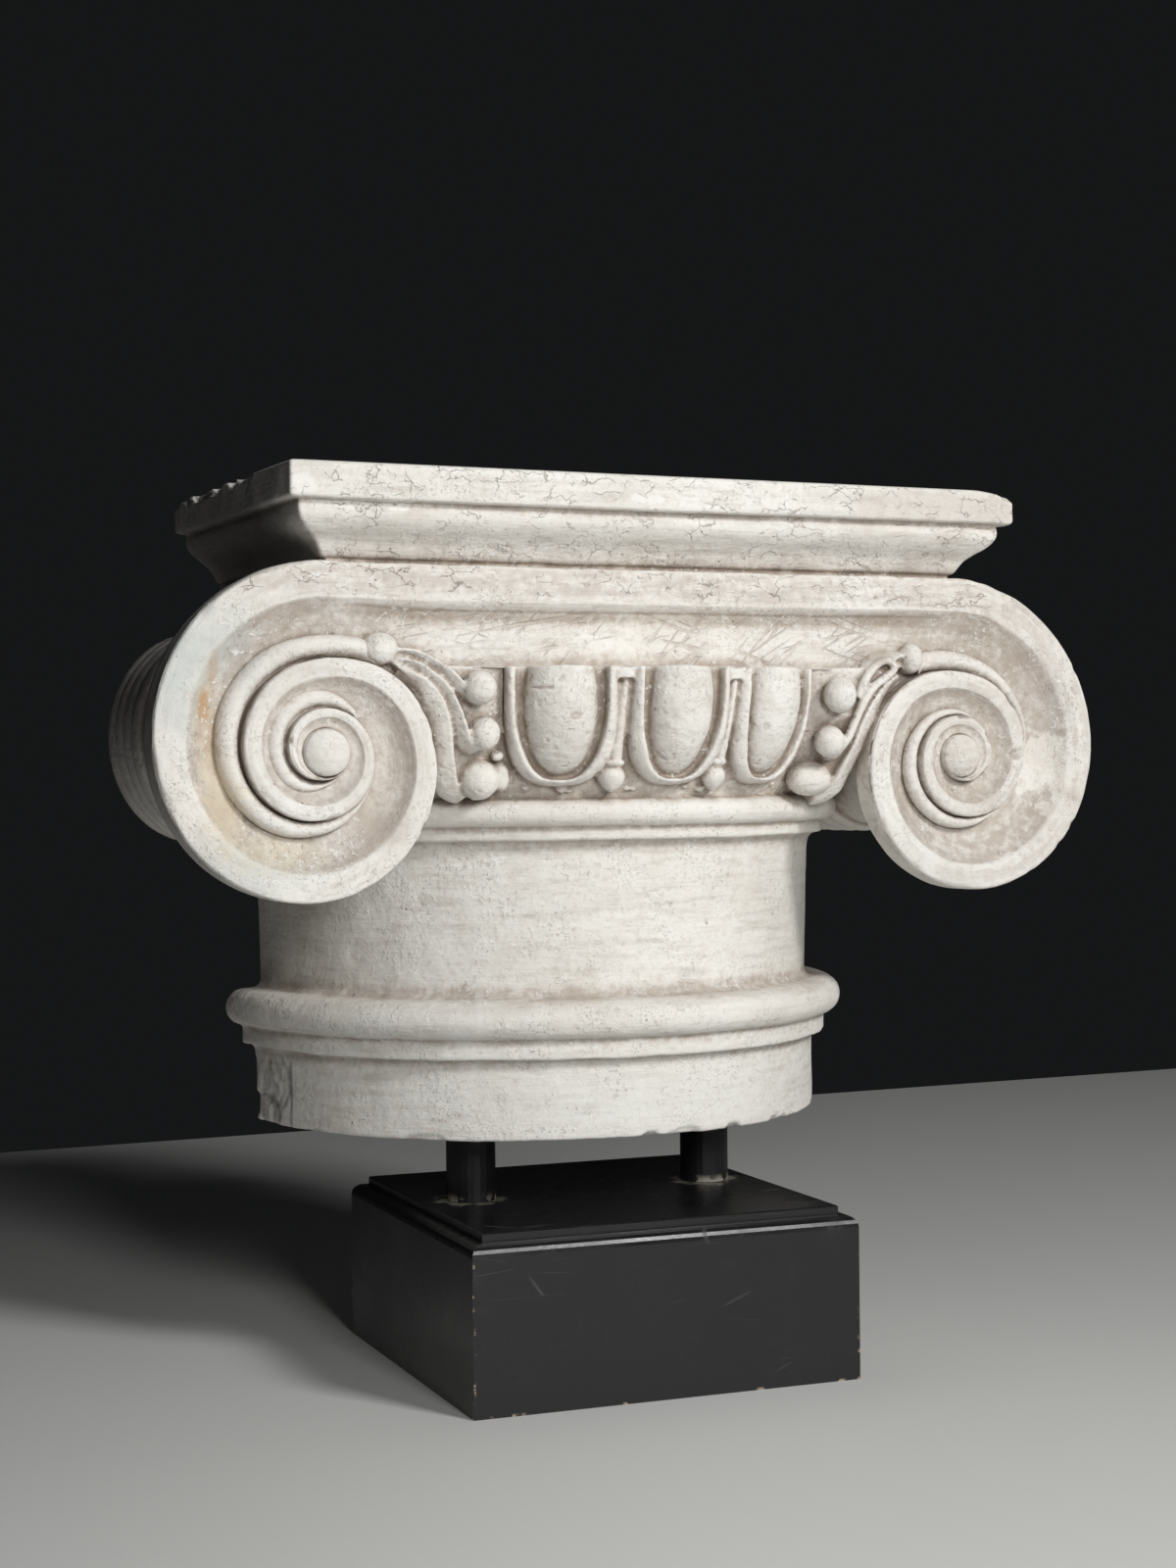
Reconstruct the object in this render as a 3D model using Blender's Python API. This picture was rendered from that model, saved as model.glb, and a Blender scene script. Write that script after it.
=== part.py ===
"""Half Ionic capital in plaster, on two posts over a moulded wooden base.

Metres, +Z up. The origin is the centre of the base's underside, +X runs along the
capital's long side and the carved front faces -Y. The flat back lies at BACK_Y.
"""

from math import cos, pi, radians, sin, sqrt

import bmesh
import bpy
from mathutils import Matrix, Vector

# Base and posts
PLINTH_WIDTH = 0.200
PLINTH_FACE_HEIGHT = 0.0745
PLINTH_HEIGHT = 0.0845
PLINTH_OVOLO = 0.006
PLINTH_STEP = 0.0075
PLINTH_TURN = radians(-3.4)
POST_DIAMETER = 0.025
POST_SPACING = 0.132
POST_Y = 0.0046
GAP = 0.0003

# Capital, overall
BACK_Y = 0.0875
FRONT_Y = -0.1003
SHAFT_X = 0.0016
SHAFT_BOTTOM_Z = 0.1204
ABACUS_TOP_Z = 0.439
ABACUS_WIDTH = 0.384
ABACUS_FILLET = 0.0165
ABACUS_QUIRK = 0.007
ABACUS_CYMA_INSET = 0.0226
ABACUS_BOTTOM_Z = 0.396

# Volutes: the eye, and the distance from it to the turn's outer edge at each eighth of a turn,
# as a mason sets a volute out, from straight up and away from the middle of the capital.
# The right volute hangs a little lower than the left; both start level at the abacus.
EYE_X = 0.1703
EYE_Z = {-1: 0.3086, 1: 0.3052}
EYE_RADIUS = 0.0108
EYE_RISE = 0.009
FACE_Y = -0.0845
VOLUTE_TOP_Z = 0.3955
VOLUTE_RADII = (0.0849, 0.0803, 0.0748, 0.0680, 0.0597, 0.0533, 0.0488,
                0.0430, 0.0413, 0.0390, 0.0353, 0.0306, 0.0262, 0.0228, 0.0212,
                0.0203, 0.0195, 0.0178, 0.0150, 0.0126, 0.0112)
STEPS_PER_TURN = 28
BAND_LEAST = 0.0015
BAND_SHARE = 0.17
CHANNEL_DEPTH_SHARE = 0.27
VOLUTE_THICKNESS = 0.0150
CANALIS_BOTTOM_Z = 0.3485
CANALIS_HALF_LENGTH = 0.1440
CANALIS_LIFT = 0.0018
CANALIS_DEPTH = 0.0075
CANALIS_LIP_DEPTH = 0.0050

# Echinus with its eggs, shells and darts, round the axis at the middle of the back
EGG_TURN = radians(18.2)
EGG_TOP_Z = 0.349
EGG_CENTRE_Z = 0.335
EGG_HALF_HEIGHT = 0.038
EGG_HALF_WIDTH = 0.0172
EGG_BULGE = 0.0125
SHELL_HALF_WIDTH = 0.0229
SHELL_BOTTOM_Z = 0.2918
SHELL_SECTION = 0.0056
SHELL_RISE = 0.0085
DART_BULB_Z = 0.2965
DART_BULB_RADIUS = 0.0060
DART_SHAFT_WIDTH = 0.0032

# Palmettes at the inner side of each volute: a bead, and three leaves that end in balls
BEAD = (0.1415, -0.0765, 0.3565)
BEAD_RADIUS = 0.0075
BALLS = ((0.0958, -0.0845, 0.3380, 0.0078), (0.0926, -0.0770, 0.3160, 0.0074),
         (0.0900, -0.0600, 0.2945, 0.0088))
BED_OUTLINE = ((0.1360, 0.3540), (0.0900, 0.3495), (0.0850, 0.3300), (0.0830, 0.3050),
               (0.0860, 0.2945), (0.0980, 0.2890), (0.1080, 0.2960), (0.1130, 0.3190),
               (0.1260, 0.3410))
BED_TOP_Z = 0.3505
BED_Y = -0.0830
BED_LEAN = 0.36

# Bolsters behind the volutes
BOLSTER_X = 0.1840
BOLSTER_Z = 0.3180
BOLSTER_HALF_WIDTH = 0.0405
BOLSTER_HALF_HEIGHT = 0.0485
BOLSTER_FLARE_RADIUS = 0.0630
BOLSTER_FLARE_END_Y = 0.0020
REED_START_Y = 0.0275
REED_COUNT = 4
REED_RISE = 0.0040

OVERRUN = 0.006


def clear_scene():
    for item in list(bpy.data.objects):
        bpy.data.objects.remove(item, do_unlink=True)


def make_material(name, color, roughness):
    material = bpy.data.materials.new(name)
    material.use_nodes = True
    shader = material.node_tree.nodes["Principled BSDF"]
    shader.inputs["Base Color"].default_value = (*color, 1.0)
    shader.inputs["Roughness"].default_value = roughness
    shader.inputs["Metallic"].default_value = 0.0
    return material


def make_object(name, bm, material=None):
    """Turn a closed bmesh into an object with outward faces, shaded smooth below 35 degrees."""
    bmesh.ops.recalc_face_normals(bm, faces=bm.faces)
    mesh = bpy.data.meshes.new(name)
    bm.to_mesh(mesh)
    bm.free()
    mesh.shade_smooth()
    mesh.set_sharp_from_angle(angle=radians(35.0))
    item = bpy.data.objects.new(name, mesh)
    bpy.context.scene.collection.objects.link(item)
    if material:
        mesh.materials.append(material)
    return item


def bridge_rings(bm, rings, caps=True):
    """Join rings of equal length, each a closed loop of points, and cap both ends."""
    loops = [[bm.verts.new(point) for point in ring] for ring in rings]
    count = len(loops[0])
    for low, high in zip(loops, loops[1:]):
        for i in range(count):
            j = (i + 1) % count
            bm.faces.new((low[i], low[j], high[j], high[i]))
    if caps:
        bm.faces.new(list(reversed(loops[0])))
        bm.faces.new(loops[-1])
    return loops


def smoother(share):
    return share * share * share * (share * (6.0 * share - 15.0) + 10.0)


def blend(a, b, share):
    return a + (b - a) * share


def curve_at(values, place):
    """Catmull-Rom through evenly spaced values, held level past the ends."""
    last = len(values) - 1
    place = min(max(place, 0.0), last)
    i = min(int(place), last - 1)
    t = place - i
    a, b, c, d = (values[min(max(i + k, 0), last)] for k in (-1, 0, 1, 2))
    return 0.5 * (2 * b + (c - a) * t + (2 * a - 5 * b + 4 * c - d) * t * t
                  + (3 * b - a - 3 * c + d) * t ** 3)


def on_axis(radius, turn, z):
    """Point at a radius from the shaft's axis; turn 0 is straight ahead, +turn to the right."""
    return Vector((SHAFT_X + radius * sin(turn), BACK_Y - radius * cos(turn), z))


# ---------------------------------------------------------------- base and posts


def build_plinth(material):
    half = PLINTH_WIDTH / 2
    arc_height = 0.0058
    levels = [(0.0, 0.0), (0.0, PLINTH_FACE_HEIGHT)]
    for i in range(1, 6):
        a = pi / 2 * i / 5
        levels.append((PLINTH_OVOLO * (1 - cos(a)), PLINTH_FACE_HEIGHT + arc_height * sin(a)))
    levels.append((PLINTH_STEP, PLINTH_FACE_HEIGHT + arc_height))
    levels.append((PLINTH_STEP, PLINTH_HEIGHT - 0.0006))
    levels.append((PLINTH_STEP + 0.0006, PLINTH_HEIGHT))
    bm = bmesh.new()
    rings = []
    for inset, z in levels:
        side = half - inset
        rings.append([(-side, -side, z), (side, -side, z), (side, side, z), (-side, side, z)])
    bridge_rings(bm, rings)
    plinth = make_object("plinth", bm, material)
    plinth.rotation_euler = (0.0, 0.0, PLINTH_TURN)


def build_posts(material):
    low = PLINTH_HEIGHT + GAP
    high = SHAFT_BOTTOM_Z - GAP
    for name, side in (("post_left", -1), ("post_right", 1)):
        bm = bmesh.new()
        bmesh.ops.create_cone(bm, cap_ends=True, segments=24, radius1=POST_DIAMETER / 2,
                              radius2=POST_DIAMETER / 2, depth=high - low)
        post = make_object(name, bm, material)
        post.location = (side * POST_SPACING / 2, POST_Y, (low + high) / 2)


# ---------------------------------------------------------------- capital: plain members


def abacus_levels():
    """Inset and height down the abacus: fillet, quirk and cyma reversa."""
    fillet_z = ABACUS_TOP_Z - ABACUS_FILLET
    cyma_z = fillet_z - 0.0005
    levels = [(0.0012, ABACUS_TOP_Z), (0.0, ABACUS_TOP_Z - 0.0012), (0.0, fillet_z + 0.0008),
              (0.0008, fillet_z), (ABACUS_QUIRK, cyma_z)]
    steps = 8
    for i in range(1, steps + 1):
        share = i / steps
        levels.append((blend(ABACUS_QUIRK, ABACUS_CYMA_INSET, smoother(share)),
                       blend(cyma_z, ABACUS_BOTTOM_Z, share)))
    levels.append((ABACUS_CYMA_INSET, ABACUS_BOTTOM_Z - 0.004))
    return levels


def make_abacus():
    bm = bmesh.new()
    rings = []
    for inset, z in abacus_levels():
        side = ABACUS_WIDTH / 2 - inset
        front = FRONT_Y + inset
        back = BACK_Y + OVERRUN
        rings.append([(-side, front, z), (side, front, z), (side, back, z), (-side, back, z)])
    bridge_rings(bm, rings)
    return make_object("abacus", bm)


def make_cushion():
    """The block under the abacus, between the two bolsters."""
    side = ABACUS_WIDTH / 2 - ABACUS_CYMA_INSET - 0.0005
    back = BACK_Y + OVERRUN
    front = FACE_Y + VOLUTE_THICKNESS - 0.004
    low = BOLSTER_Z
    high = ABACUS_BOTTOM_Z + 0.003
    rings = []
    for z in (low, high):
        rings.append([(-side, front, z), (side, front, z), (side, back, z), (-side, back, z)])
    bm = bmesh.new()
    bridge_rings(bm, rings)
    return make_object("cushion", bm)


def shaft_profile():
    """Radius and height up the round part, from the sawn foot to the top of the echinus."""
    profile = [(0.1538, SHAFT_BOTTOM_Z), (0.1538, 0.1575), (0.1560, 0.1602), (0.1605, 0.1602),
               (0.1605, 0.1700)]
    for i in range(1, 6):
        a = -pi / 2 + pi * i / 6
        profile.append((0.1601 + 0.0094 * cos(a), 0.1794 + 0.0094 * sin(a)))
    profile += [(0.1601, 0.1888), (0.1530, 0.1892), (0.1505, 0.1920), (0.1510, 0.2200),
                (0.1524, 0.2600), (0.1535, 0.2640), (0.1565, 0.2660), (0.1605, 0.2660),
                (0.1605, 0.2726)]
    for i in range(1, 5):
        a = -pi / 2 + pi * i / 5
        profile.append((0.1615 + 0.0068 * cos(a), 0.2796 + 0.0068 * sin(a)))
    profile += [(0.1625, 0.2866), (0.1650, 0.2900), (0.1690, 0.2980), (0.1735, 0.3080),
                (0.1772, 0.3200), (0.1800, 0.3340), (0.1812, EGG_TOP_Z), (0.1500, EGG_TOP_Z),
                (0.1500, ABACUS_BOTTOM_Z + 0.001)]
    return profile


def echinus_radius(z):
    """The echinus's own surface, behind its eggs."""
    points = [point for point in shaft_profile() if 0.2866 <= point[1] <= EGG_TOP_Z and point[0] > 0.16]
    for (r0, z0), (r1, z1) in zip(points, points[1:]):
        if z0 <= z <= z1 and z1 > z0:
            return blend(r0, r1, (z - z0) / (z1 - z0))
    return points[0][0] if z < points[0][1] else points[-1][0]


def make_shaft():
    """A half turn of the profile, closed by a flat back a little past BACK_Y."""
    segments = 28
    rings = []
    for radius, z in shaft_profile():
        ring = [on_axis(radius, -pi / 2 + pi * i / segments, z) for i in range(segments + 1)]
        ring.append(Vector((SHAFT_X + radius, BACK_Y + OVERRUN, z)))
        ring.append(Vector((SHAFT_X - radius, BACK_Y + OVERRUN, z)))
        rings.append(ring)
    bm = bmesh.new()
    bridge_rings(bm, rings)
    return make_object("shaft", bm)


# ---------------------------------------------------------------- capital: volutes


def volute_radius(step, side):
    radii = (VOLUTE_TOP_Z - EYE_Z[side],) + VOLUTE_RADII
    return curve_at(radii, step * 8.0 / STEPS_PER_TURN)


def channel_profile(outer, inner, roll):
    """Distance in from the turn's outer edge and depth behind the face, across one turn."""
    width = outer - inner
    band = min(BAND_LEAST + BAND_SHARE * outer, 0.45 * width)
    channel = width - band
    depth = CHANNEL_DEPTH_SHARE * min(channel, 0.028)
    roll_width = 0.36 * channel
    crest = depth * (1.0 - 0.72 * roll)
    return [(0.0, 0.0), (band, 0.0), (band + 0.05 * channel, 0.45 * depth),
            (band + channel - roll_width, depth),
            (band + channel - 0.70 * roll_width, blend(depth, crest, 0.85)),
            (band + channel - 0.30 * roll_width, crest),
            (band + channel - 0.03 * channel, blend(depth, crest, 0.15))]


def roll_strength(turn):
    """The half-round stalk in the channel: from the bead down the first turn, then again."""
    first = min(max((0.62 - turn) / 0.10, 0.0), 1.0)
    second = min(max((turn - 0.80) / 0.10, 0.0), 1.0) * min(max((1.60 - turn) / 0.12, 0.0), 1.0)
    return max(first, second)


def make_volutes():
    """Both volutes and the channel between them: one carved face on a flat-backed plate."""
    bm = bmesh.new()
    steps = len(VOLUTE_RADII) * STEPS_PER_TURN // 8
    halves = []
    for side in (-1, 1):
        def put(radius, step, y):
            a = 2 * pi * step / STEPS_PER_TURN
            return bm.verts.new((side * (EYE_X + radius * sin(a)), y, EYE_Z[side] + radius * cos(a)))

        eye_ring = [put(EYE_RADIUS, i, FACE_Y + 0.0025) for i in range(STEPS_PER_TURN)]
        outer_verts = [put(volute_radius(i, side), i, FACE_Y) for i in range(steps)]
        stations = []
        for i in range(steps):
            outer = volute_radius(i, side)
            nested = i + STEPS_PER_TURN < steps
            inner = volute_radius(i + STEPS_PER_TURN, side) if nested else EYE_RADIUS
            row = [outer_verts[i]]
            for inward, depth in channel_profile(outer, inner, roll_strength(i / STEPS_PER_TURN))[1:]:
                row.append(put(outer - inward, i, FACE_Y + depth))
            row.append(outer_verts[i + STEPS_PER_TURN] if nested else eye_ring[i % STEPS_PER_TURN])
            stations.append(row)
        for low, high in zip(stations, stations[1:]):
            for j in range(len(low) - 1):
                bm.faces.new((low[j], high[j], high[j + 1], low[j + 1]))
        close_spiral_tail(bm, stations, eye_ring, steps)
        add_eye(bm, side, eye_ring)
        halves.append(stations)
    join_halves(bm, halves)
    return plate_behind(bm)


def close_spiral_tail(bm, stations, eye_ring, steps):
    """The last station's band runs out on the eye: bridge it to the eye's next ring point."""
    last = stations[-1]
    following = eye_ring[steps % STEPS_PER_TURN]
    turn_back = stations[steps - STEPS_PER_TURN]
    edge = turn_back[-1]
    for a, b in zip(last, last[1:]):
        if following not in (a, b):
            bm.faces.new((a, following, b))
    if edge is not following:
        bm.faces.new((last[0], edge, following))


def add_eye(bm, side, ring):
    """The rounded boss in the middle of the volute."""
    previous = ring
    for share in (0.85, 0.5):
        loop = []
        for i in range(STEPS_PER_TURN):
            a = 2 * pi * i / STEPS_PER_TURN
            rise = EYE_RISE * sqrt(1.0 - share * share)
            loop.append(bm.verts.new((side * (EYE_X + EYE_RADIUS * share * sin(a)),
                                      FACE_Y + 0.0025 - 0.6 * rise,
                                      EYE_Z[side] + EYE_RADIUS * share * cos(a))))
        for i in range(STEPS_PER_TURN):
            j = (i + 1) % STEPS_PER_TURN
            bm.faces.new((previous[i], previous[j], loop[j], loop[i]))
        previous = loop
    top = bm.verts.new((side * EYE_X, FACE_Y + 0.0025 - 0.6 * EYE_RISE, EYE_Z[side]))
    for i in range(STEPS_PER_TURN):
        bm.faces.new((previous[i], previous[(i + 1) % STEPS_PER_TURN], top))


def join_halves(bm, halves):
    """The level channel: the same section carried from one volute's top to the other's."""
    left, right = halves[0][0], halves[1][0]
    rows = [left]
    low_edges = [stations[STEPS_PER_TURN][0].co.z + CANALIS_LIFT for stations in halves]
    for share, low_edge in ((-1.0, low_edges[0]), (-0.75, CANALIS_BOTTOM_Z),
                            (0.75, CANALIS_BOTTOM_Z), (1.0, low_edges[1])):
        place = 0.5 + 0.5 * share * CANALIS_HALF_LENGTH / EYE_X
        row = [bm.verts.new(a.co.lerp(b.co, place)) for a, b in zip(left, right)]
        top = row[1].co.z
        stretch = (top - low_edge) / (top - row[-1].co.z)
        for vert in row[2:]:
            vert.co.z = top + (vert.co.z - top) * stretch
        if abs(share) < 1.0:
            for vert in row[3:-1]:
                vert.co.y = FACE_Y + CANALIS_DEPTH
            row[-1].co.y = FACE_Y + CANALIS_LIP_DEPTH
        rows.append(row)
    rows.append(right)
    for low, high in zip(rows, rows[1:]):
        for j in range(len(low) - 1):
            bm.faces.new((low[j], high[j], high[j + 1], low[j + 1]))
    for stations, row in zip(halves, (rows[1], rows[-2])):
        turning = [stations[STEPS_PER_TURN - k][0] for k in range(4)]
        for a, b in zip(turning, turning[1:]):
            bm.faces.new((row[-1], a, b))


def plate_behind(bm):
    """Take the open rim straight back and close it with a flat face."""
    rim = [edge for edge in bm.edges if edge.is_boundary]
    made = bmesh.ops.extrude_edge_only(bm, edges=rim)["geom"]
    back_verts = [v for v in made if isinstance(v, bmesh.types.BMVert)]
    for vert in back_verts:
        vert.co.y = FACE_Y + VOLUTE_THICKNESS
    back_edges = [e for e in made if isinstance(e, bmesh.types.BMEdge) and e.is_boundary]
    bmesh.ops.edgeloop_fill(bm, edges=back_edges)
    return make_object("volutes", bm)


def make_bolster(side):
    """A concave sleeve from the volute, oval towards a belt of reeds at the back."""
    segments = 20
    flare_start = FACE_Y + VOLUTE_THICKNESS - 0.002
    stations = []
    for i in range(6):
        share = i / 5
        ease = (1.0 - share) ** 2.2
        stations.append((blend(flare_start, BOLSTER_FLARE_END_Y, share),
                         blend(BOLSTER_HALF_WIDTH, BOLSTER_FLARE_RADIUS, ease),
                         blend(BOLSTER_HALF_HEIGHT, BOLSTER_FLARE_RADIUS, ease)))
    reed = (BACK_Y - REED_START_Y) / REED_COUNT
    for n in range(REED_COUNT):
        for k in range(1 if n else 0, 5):
            a = pi * k / 4
            rise = REED_RISE * (0.15 + 0.85 * sin(a))
            stations.append((REED_START_Y + reed * (n + 0.04 + 0.92 * (1 - cos(a)) / 2),
                             BOLSTER_HALF_WIDTH + rise, BOLSTER_HALF_HEIGHT + rise))
    stations.append((BACK_Y + OVERRUN, BOLSTER_HALF_WIDTH, BOLSTER_HALF_HEIGHT))
    rings = []
    for y, across, up in stations:
        rings.append([(side * (BOLSTER_X + across * sin(2 * pi * i / segments)), y,
                       BOLSTER_Z + up * cos(2 * pi * i / segments)) for i in range(segments)])
    bm = bmesh.new()
    bridge_rings(bm, rings)
    return make_object("bolster", bm)


# ---------------------------------------------------------------- capital: echinus carving


def squared(value, power):
    """Raise a sine or cosine to a power, keeping its sign: below 1 it squares the curve off."""
    return abs(value) ** power * (1 if value >= 0 else -1)


def make_egg(turn):
    """Level ellipses stacked up the echinus, rounded below and cut off under the channel."""
    bm = bmesh.new()
    rings = []
    levels = 7
    for i in range(levels + 1):
        share = i / levels
        a = -pi / 2 * 0.97 * (1 - share) ** 1.15
        z = EGG_CENTRE_Z + EGG_HALF_HEIGHT * sin(a)
        if share == 1.0:
            z = EGG_TOP_Z - 0.0004
            a = 0.30
        swell = squared(cos(a), 0.85)
        centre = echinus_radius(min(z, EGG_TOP_Z)) - 0.003
        ring = []
        for k in range(12):
            b = 2 * pi * k / 12
            across = EGG_HALF_WIDTH * swell * cos(b)
            out = (EGG_BULGE + 0.003) * swell * sin(b)
            ring.append(on_axis(centre + out, turn + across / centre, z))
        rings.append(ring)
    bridge_rings(bm, rings)
    return make_object("egg", bm)


def shell_path(share):
    """Sideways place and height down one side of the U and up the other, share 0 to 1."""
    a = -pi / 2 + pi * (share - 0.5) * 1.16
    drop = EGG_CENTRE_Z + 0.003 - SHELL_BOTTOM_Z
    z = EGG_CENTRE_Z + 0.003 + drop * squared(sin(a), 0.9)
    return SHELL_HALF_WIDTH * squared(cos(a), 0.72), min(z, EGG_TOP_Z - 0.0006)


def make_shell(turn):
    """The U-shaped rim round an egg."""
    count = 14
    rings = []
    for i in range(count + 1):
        share = i / count
        across, z = shell_path(share)
        ahead = shell_path(min(share + 0.01, 1.0))
        behind = shell_path(max(share - 0.01, 0.0))
        along = Vector((ahead[0] - behind[0], ahead[1] - behind[1], 0.0))
        if along.length < 1e-7:
            along = Vector((0.0, 1.0, 0.0))
        normal = Vector((along.y, -along.x, 0.0)).normalized() * SHELL_SECTION / 2
        base = echinus_radius(z)
        ring = []
        for sideways, out in ((-1.0, -0.004), (1.0, -0.004), (1.0, 0.75 * SHELL_RISE),
                              (0.35, SHELL_RISE), (-0.35, SHELL_RISE), (-1.0, 0.75 * SHELL_RISE)):
            ring.append(on_axis(base + out, turn + (across + sideways * normal.x) / base,
                                z + sideways * normal.y))
        rings.append(ring)
    bm = bmesh.new()
    bridge_rings(bm, rings)
    return make_object("shell", bm)


def curved_bar(turn, half_width, low, high, out, taper=1.0):
    """A bar on the echinus, level across and as wide as asked."""
    rings = []
    for i in range(4):
        z = blend(low, high, i / 3)
        base = echinus_radius(z)
        half = half_width * blend(taper, 1.0, i / 3)
        rings.append([on_axis(base - 0.004, turn - half / base, z),
                      on_axis(base - 0.004, turn + half / base, z),
                      on_axis(base + out, turn + 0.8 * half / base, z),
                      on_axis(base + out, turn - 0.8 * half / base, z)])
    bm = bmesh.new()
    bridge_rings(bm, rings)
    return make_object("bar", bm)


def make_dart(turn):
    """The bar that ties two shells together, the dart's shaft and the bulb under it."""
    bridge_half = (EGG_TURN * 0.183 - 2 * SHELL_HALF_WIDTH + 0.001) / 2
    crossbar = curved_bar(turn, bridge_half, EGG_TOP_Z - 0.0065, EGG_TOP_Z - 0.0008,
                          SHELL_RISE - 0.0012)
    shaft = curved_bar(turn, DART_SHAFT_WIDTH / 2, DART_BULB_Z, EGG_TOP_Z - 0.004, 0.0050, 1.4)
    bulb = make_ball(on_axis(echinus_radius(DART_BULB_Z) + 0.0015, turn, DART_BULB_Z),
                     DART_BULB_RADIUS)
    return [crossbar, shaft, bulb]


def make_ball(centre, radius, segments=10, rows=6):
    bm = bmesh.new()
    bmesh.ops.create_uvsphere(bm, u_segments=segments, v_segments=rows, radius=radius)
    bmesh.ops.translate(bm, vec=centre, verts=bm.verts)
    return make_object("ball", bm)


def leaf_paths():
    """Three leaves fan out from the bead, each to its own ball: points and half widths."""
    bead = Vector(BEAD)
    turns = ((Vector((-0.020, -0.006, 0.000)), Vector((-0.036, -0.010, -0.008))),
             (Vector((-0.020, -0.002, -0.008)), Vector((-0.035, -0.004, -0.024))),
             (Vector((-0.019, 0.001, -0.015)), Vector((-0.031, 0.004, -0.040))))
    paths = []
    for (near, far), ball in zip(turns, BALLS):
        centre = Vector(ball[:3])
        end = centre + Vector((0.6 * ball[3], 0.002, -0.75 * ball[3]))
        paths.append([bead + Vector((-0.004, 0.0, -0.001)), bead + near, bead + far, end])
    return paths


def make_leaf(path, side):
    """A tapering strap with a rounded back."""
    count = 7
    centres = []
    for i in range(count + 1):
        place = (len(path) - 1) * i / count
        centres.append(Vector([curve_at([p[axis] for p in path], place) for axis in range(3)]))
    rings = []
    for i, centre in enumerate(centres):
        share = i / count
        along = (centres[min(i + 1, count)] - centres[max(i - 1, 0)]).normalized()
        outward = Vector((0.0, -1.0, 0.0))
        across = along.cross(outward).normalized()
        half = 0.0034 + 0.0020 * sin(pi * share)
        ring = []
        for k in range(6):
            b = 2 * pi * k / 6
            point = centre + across * half * cos(b) + outward * 0.0056 * sin(b)
            ring.append((side * point.x, point.y, point.z))
        rings.append(ring)
    bm = bmesh.new()
    bridge_rings(bm, rings)
    return make_object("leaf", bm)


def make_bed(side):
    """The ground that the leaves and balls stand on, leaning back as it goes down."""
    rings = []
    for front in (True, False):
        ring = []
        for x, z in BED_OUTLINE:
            lean = (BED_TOP_Z - z) * BED_LEAN
            ring.append((side * x, BED_Y + lean if front else -0.030, z))
        rings.append(ring)
    bm = bmesh.new()
    bridge_rings(bm, rings)
    return make_object("bed", bm)


def make_palmette(side):
    parts = [make_bed(side), make_ball(Vector((side * BEAD[0], BEAD[1], BEAD[2])), BEAD_RADIUS)]
    for x, y, z, radius in BALLS:
        parts.append(make_ball(Vector((side * x, y, z)), radius))
    for path in leaf_paths():
        parts.append(make_leaf(path, side))
    return parts


# ---------------------------------------------------------------- capital: assembly


def box(name, low, high):
    bm = bmesh.new()
    bmesh.ops.create_cube(bm, size=1.0)
    size = [b - a for a, b in zip(low, high)]
    middle = [(a + b) / 2 for a, b in zip(low, high)]
    bmesh.ops.transform(bm, matrix=Matrix.LocRotScale(middle, None, size), verts=bm.verts)
    return make_object(name, bm)


def as_cutter(item, collection):
    for owner in list(item.users_collection):
        owner.objects.unlink(item)
    collection.objects.link(item)
    item.hide_render = True
    item.display_type = "WIRE"


def build_capital(material):
    """Everything that was cast together, joined into one solid and cut flat at the back."""
    parts = [make_volutes(), make_abacus(), make_cushion(), make_bolster(-1), make_bolster(1)]
    for n in (-1, 0, 1):
        parts += [make_egg(n * EGG_TURN), make_shell(n * EGG_TURN)]
    for n in (-0.5, 0.5):
        parts += make_dart(n * EGG_TURN)
    for side in (-1, 1):
        parts += make_palmette(side)
    capital = make_shaft()
    capital.name = "capital"
    capital.data.materials.append(material)
    joined = bpy.data.collections.new("cast_together")
    bpy.context.scene.collection.children.link(joined)
    for item in parts:
        as_cutter(item, joined)
    union = capital.modifiers.new("cast_together", "BOOLEAN")
    union.operation = "UNION"
    union.operand_type = "COLLECTION"
    union.collection = joined
    union.solver = "EXACT"
    behind = box("wall_side", (-0.4, BACK_Y, 0.0), (0.4, BACK_Y + 0.1, 0.6))
    cutters = bpy.data.collections.new("cutters")
    bpy.context.scene.collection.children.link(cutters)
    as_cutter(behind, cutters)
    cut = capital.modifiers.new("flat_back", "BOOLEAN")
    cut.operation = "DIFFERENCE"
    cut.object = behind
    cut.solver = "EXACT"


def main():
    clear_scene()
    plaster = make_material("plaster", (0.78, 0.74, 0.69), 0.75)
    black_wood = make_material("black_wood", (0.012, 0.012, 0.014), 0.25)
    black_steel = make_material("black_steel", (0.014, 0.014, 0.016), 0.35)
    build_plinth(black_wood)
    build_posts(black_steel)
    build_capital(plaster)


main()
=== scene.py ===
from math import atan2, cos, pi, radians, sin

import bmesh
import bpy
import numpy as np
from mathutils import Matrix, Vector


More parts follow.
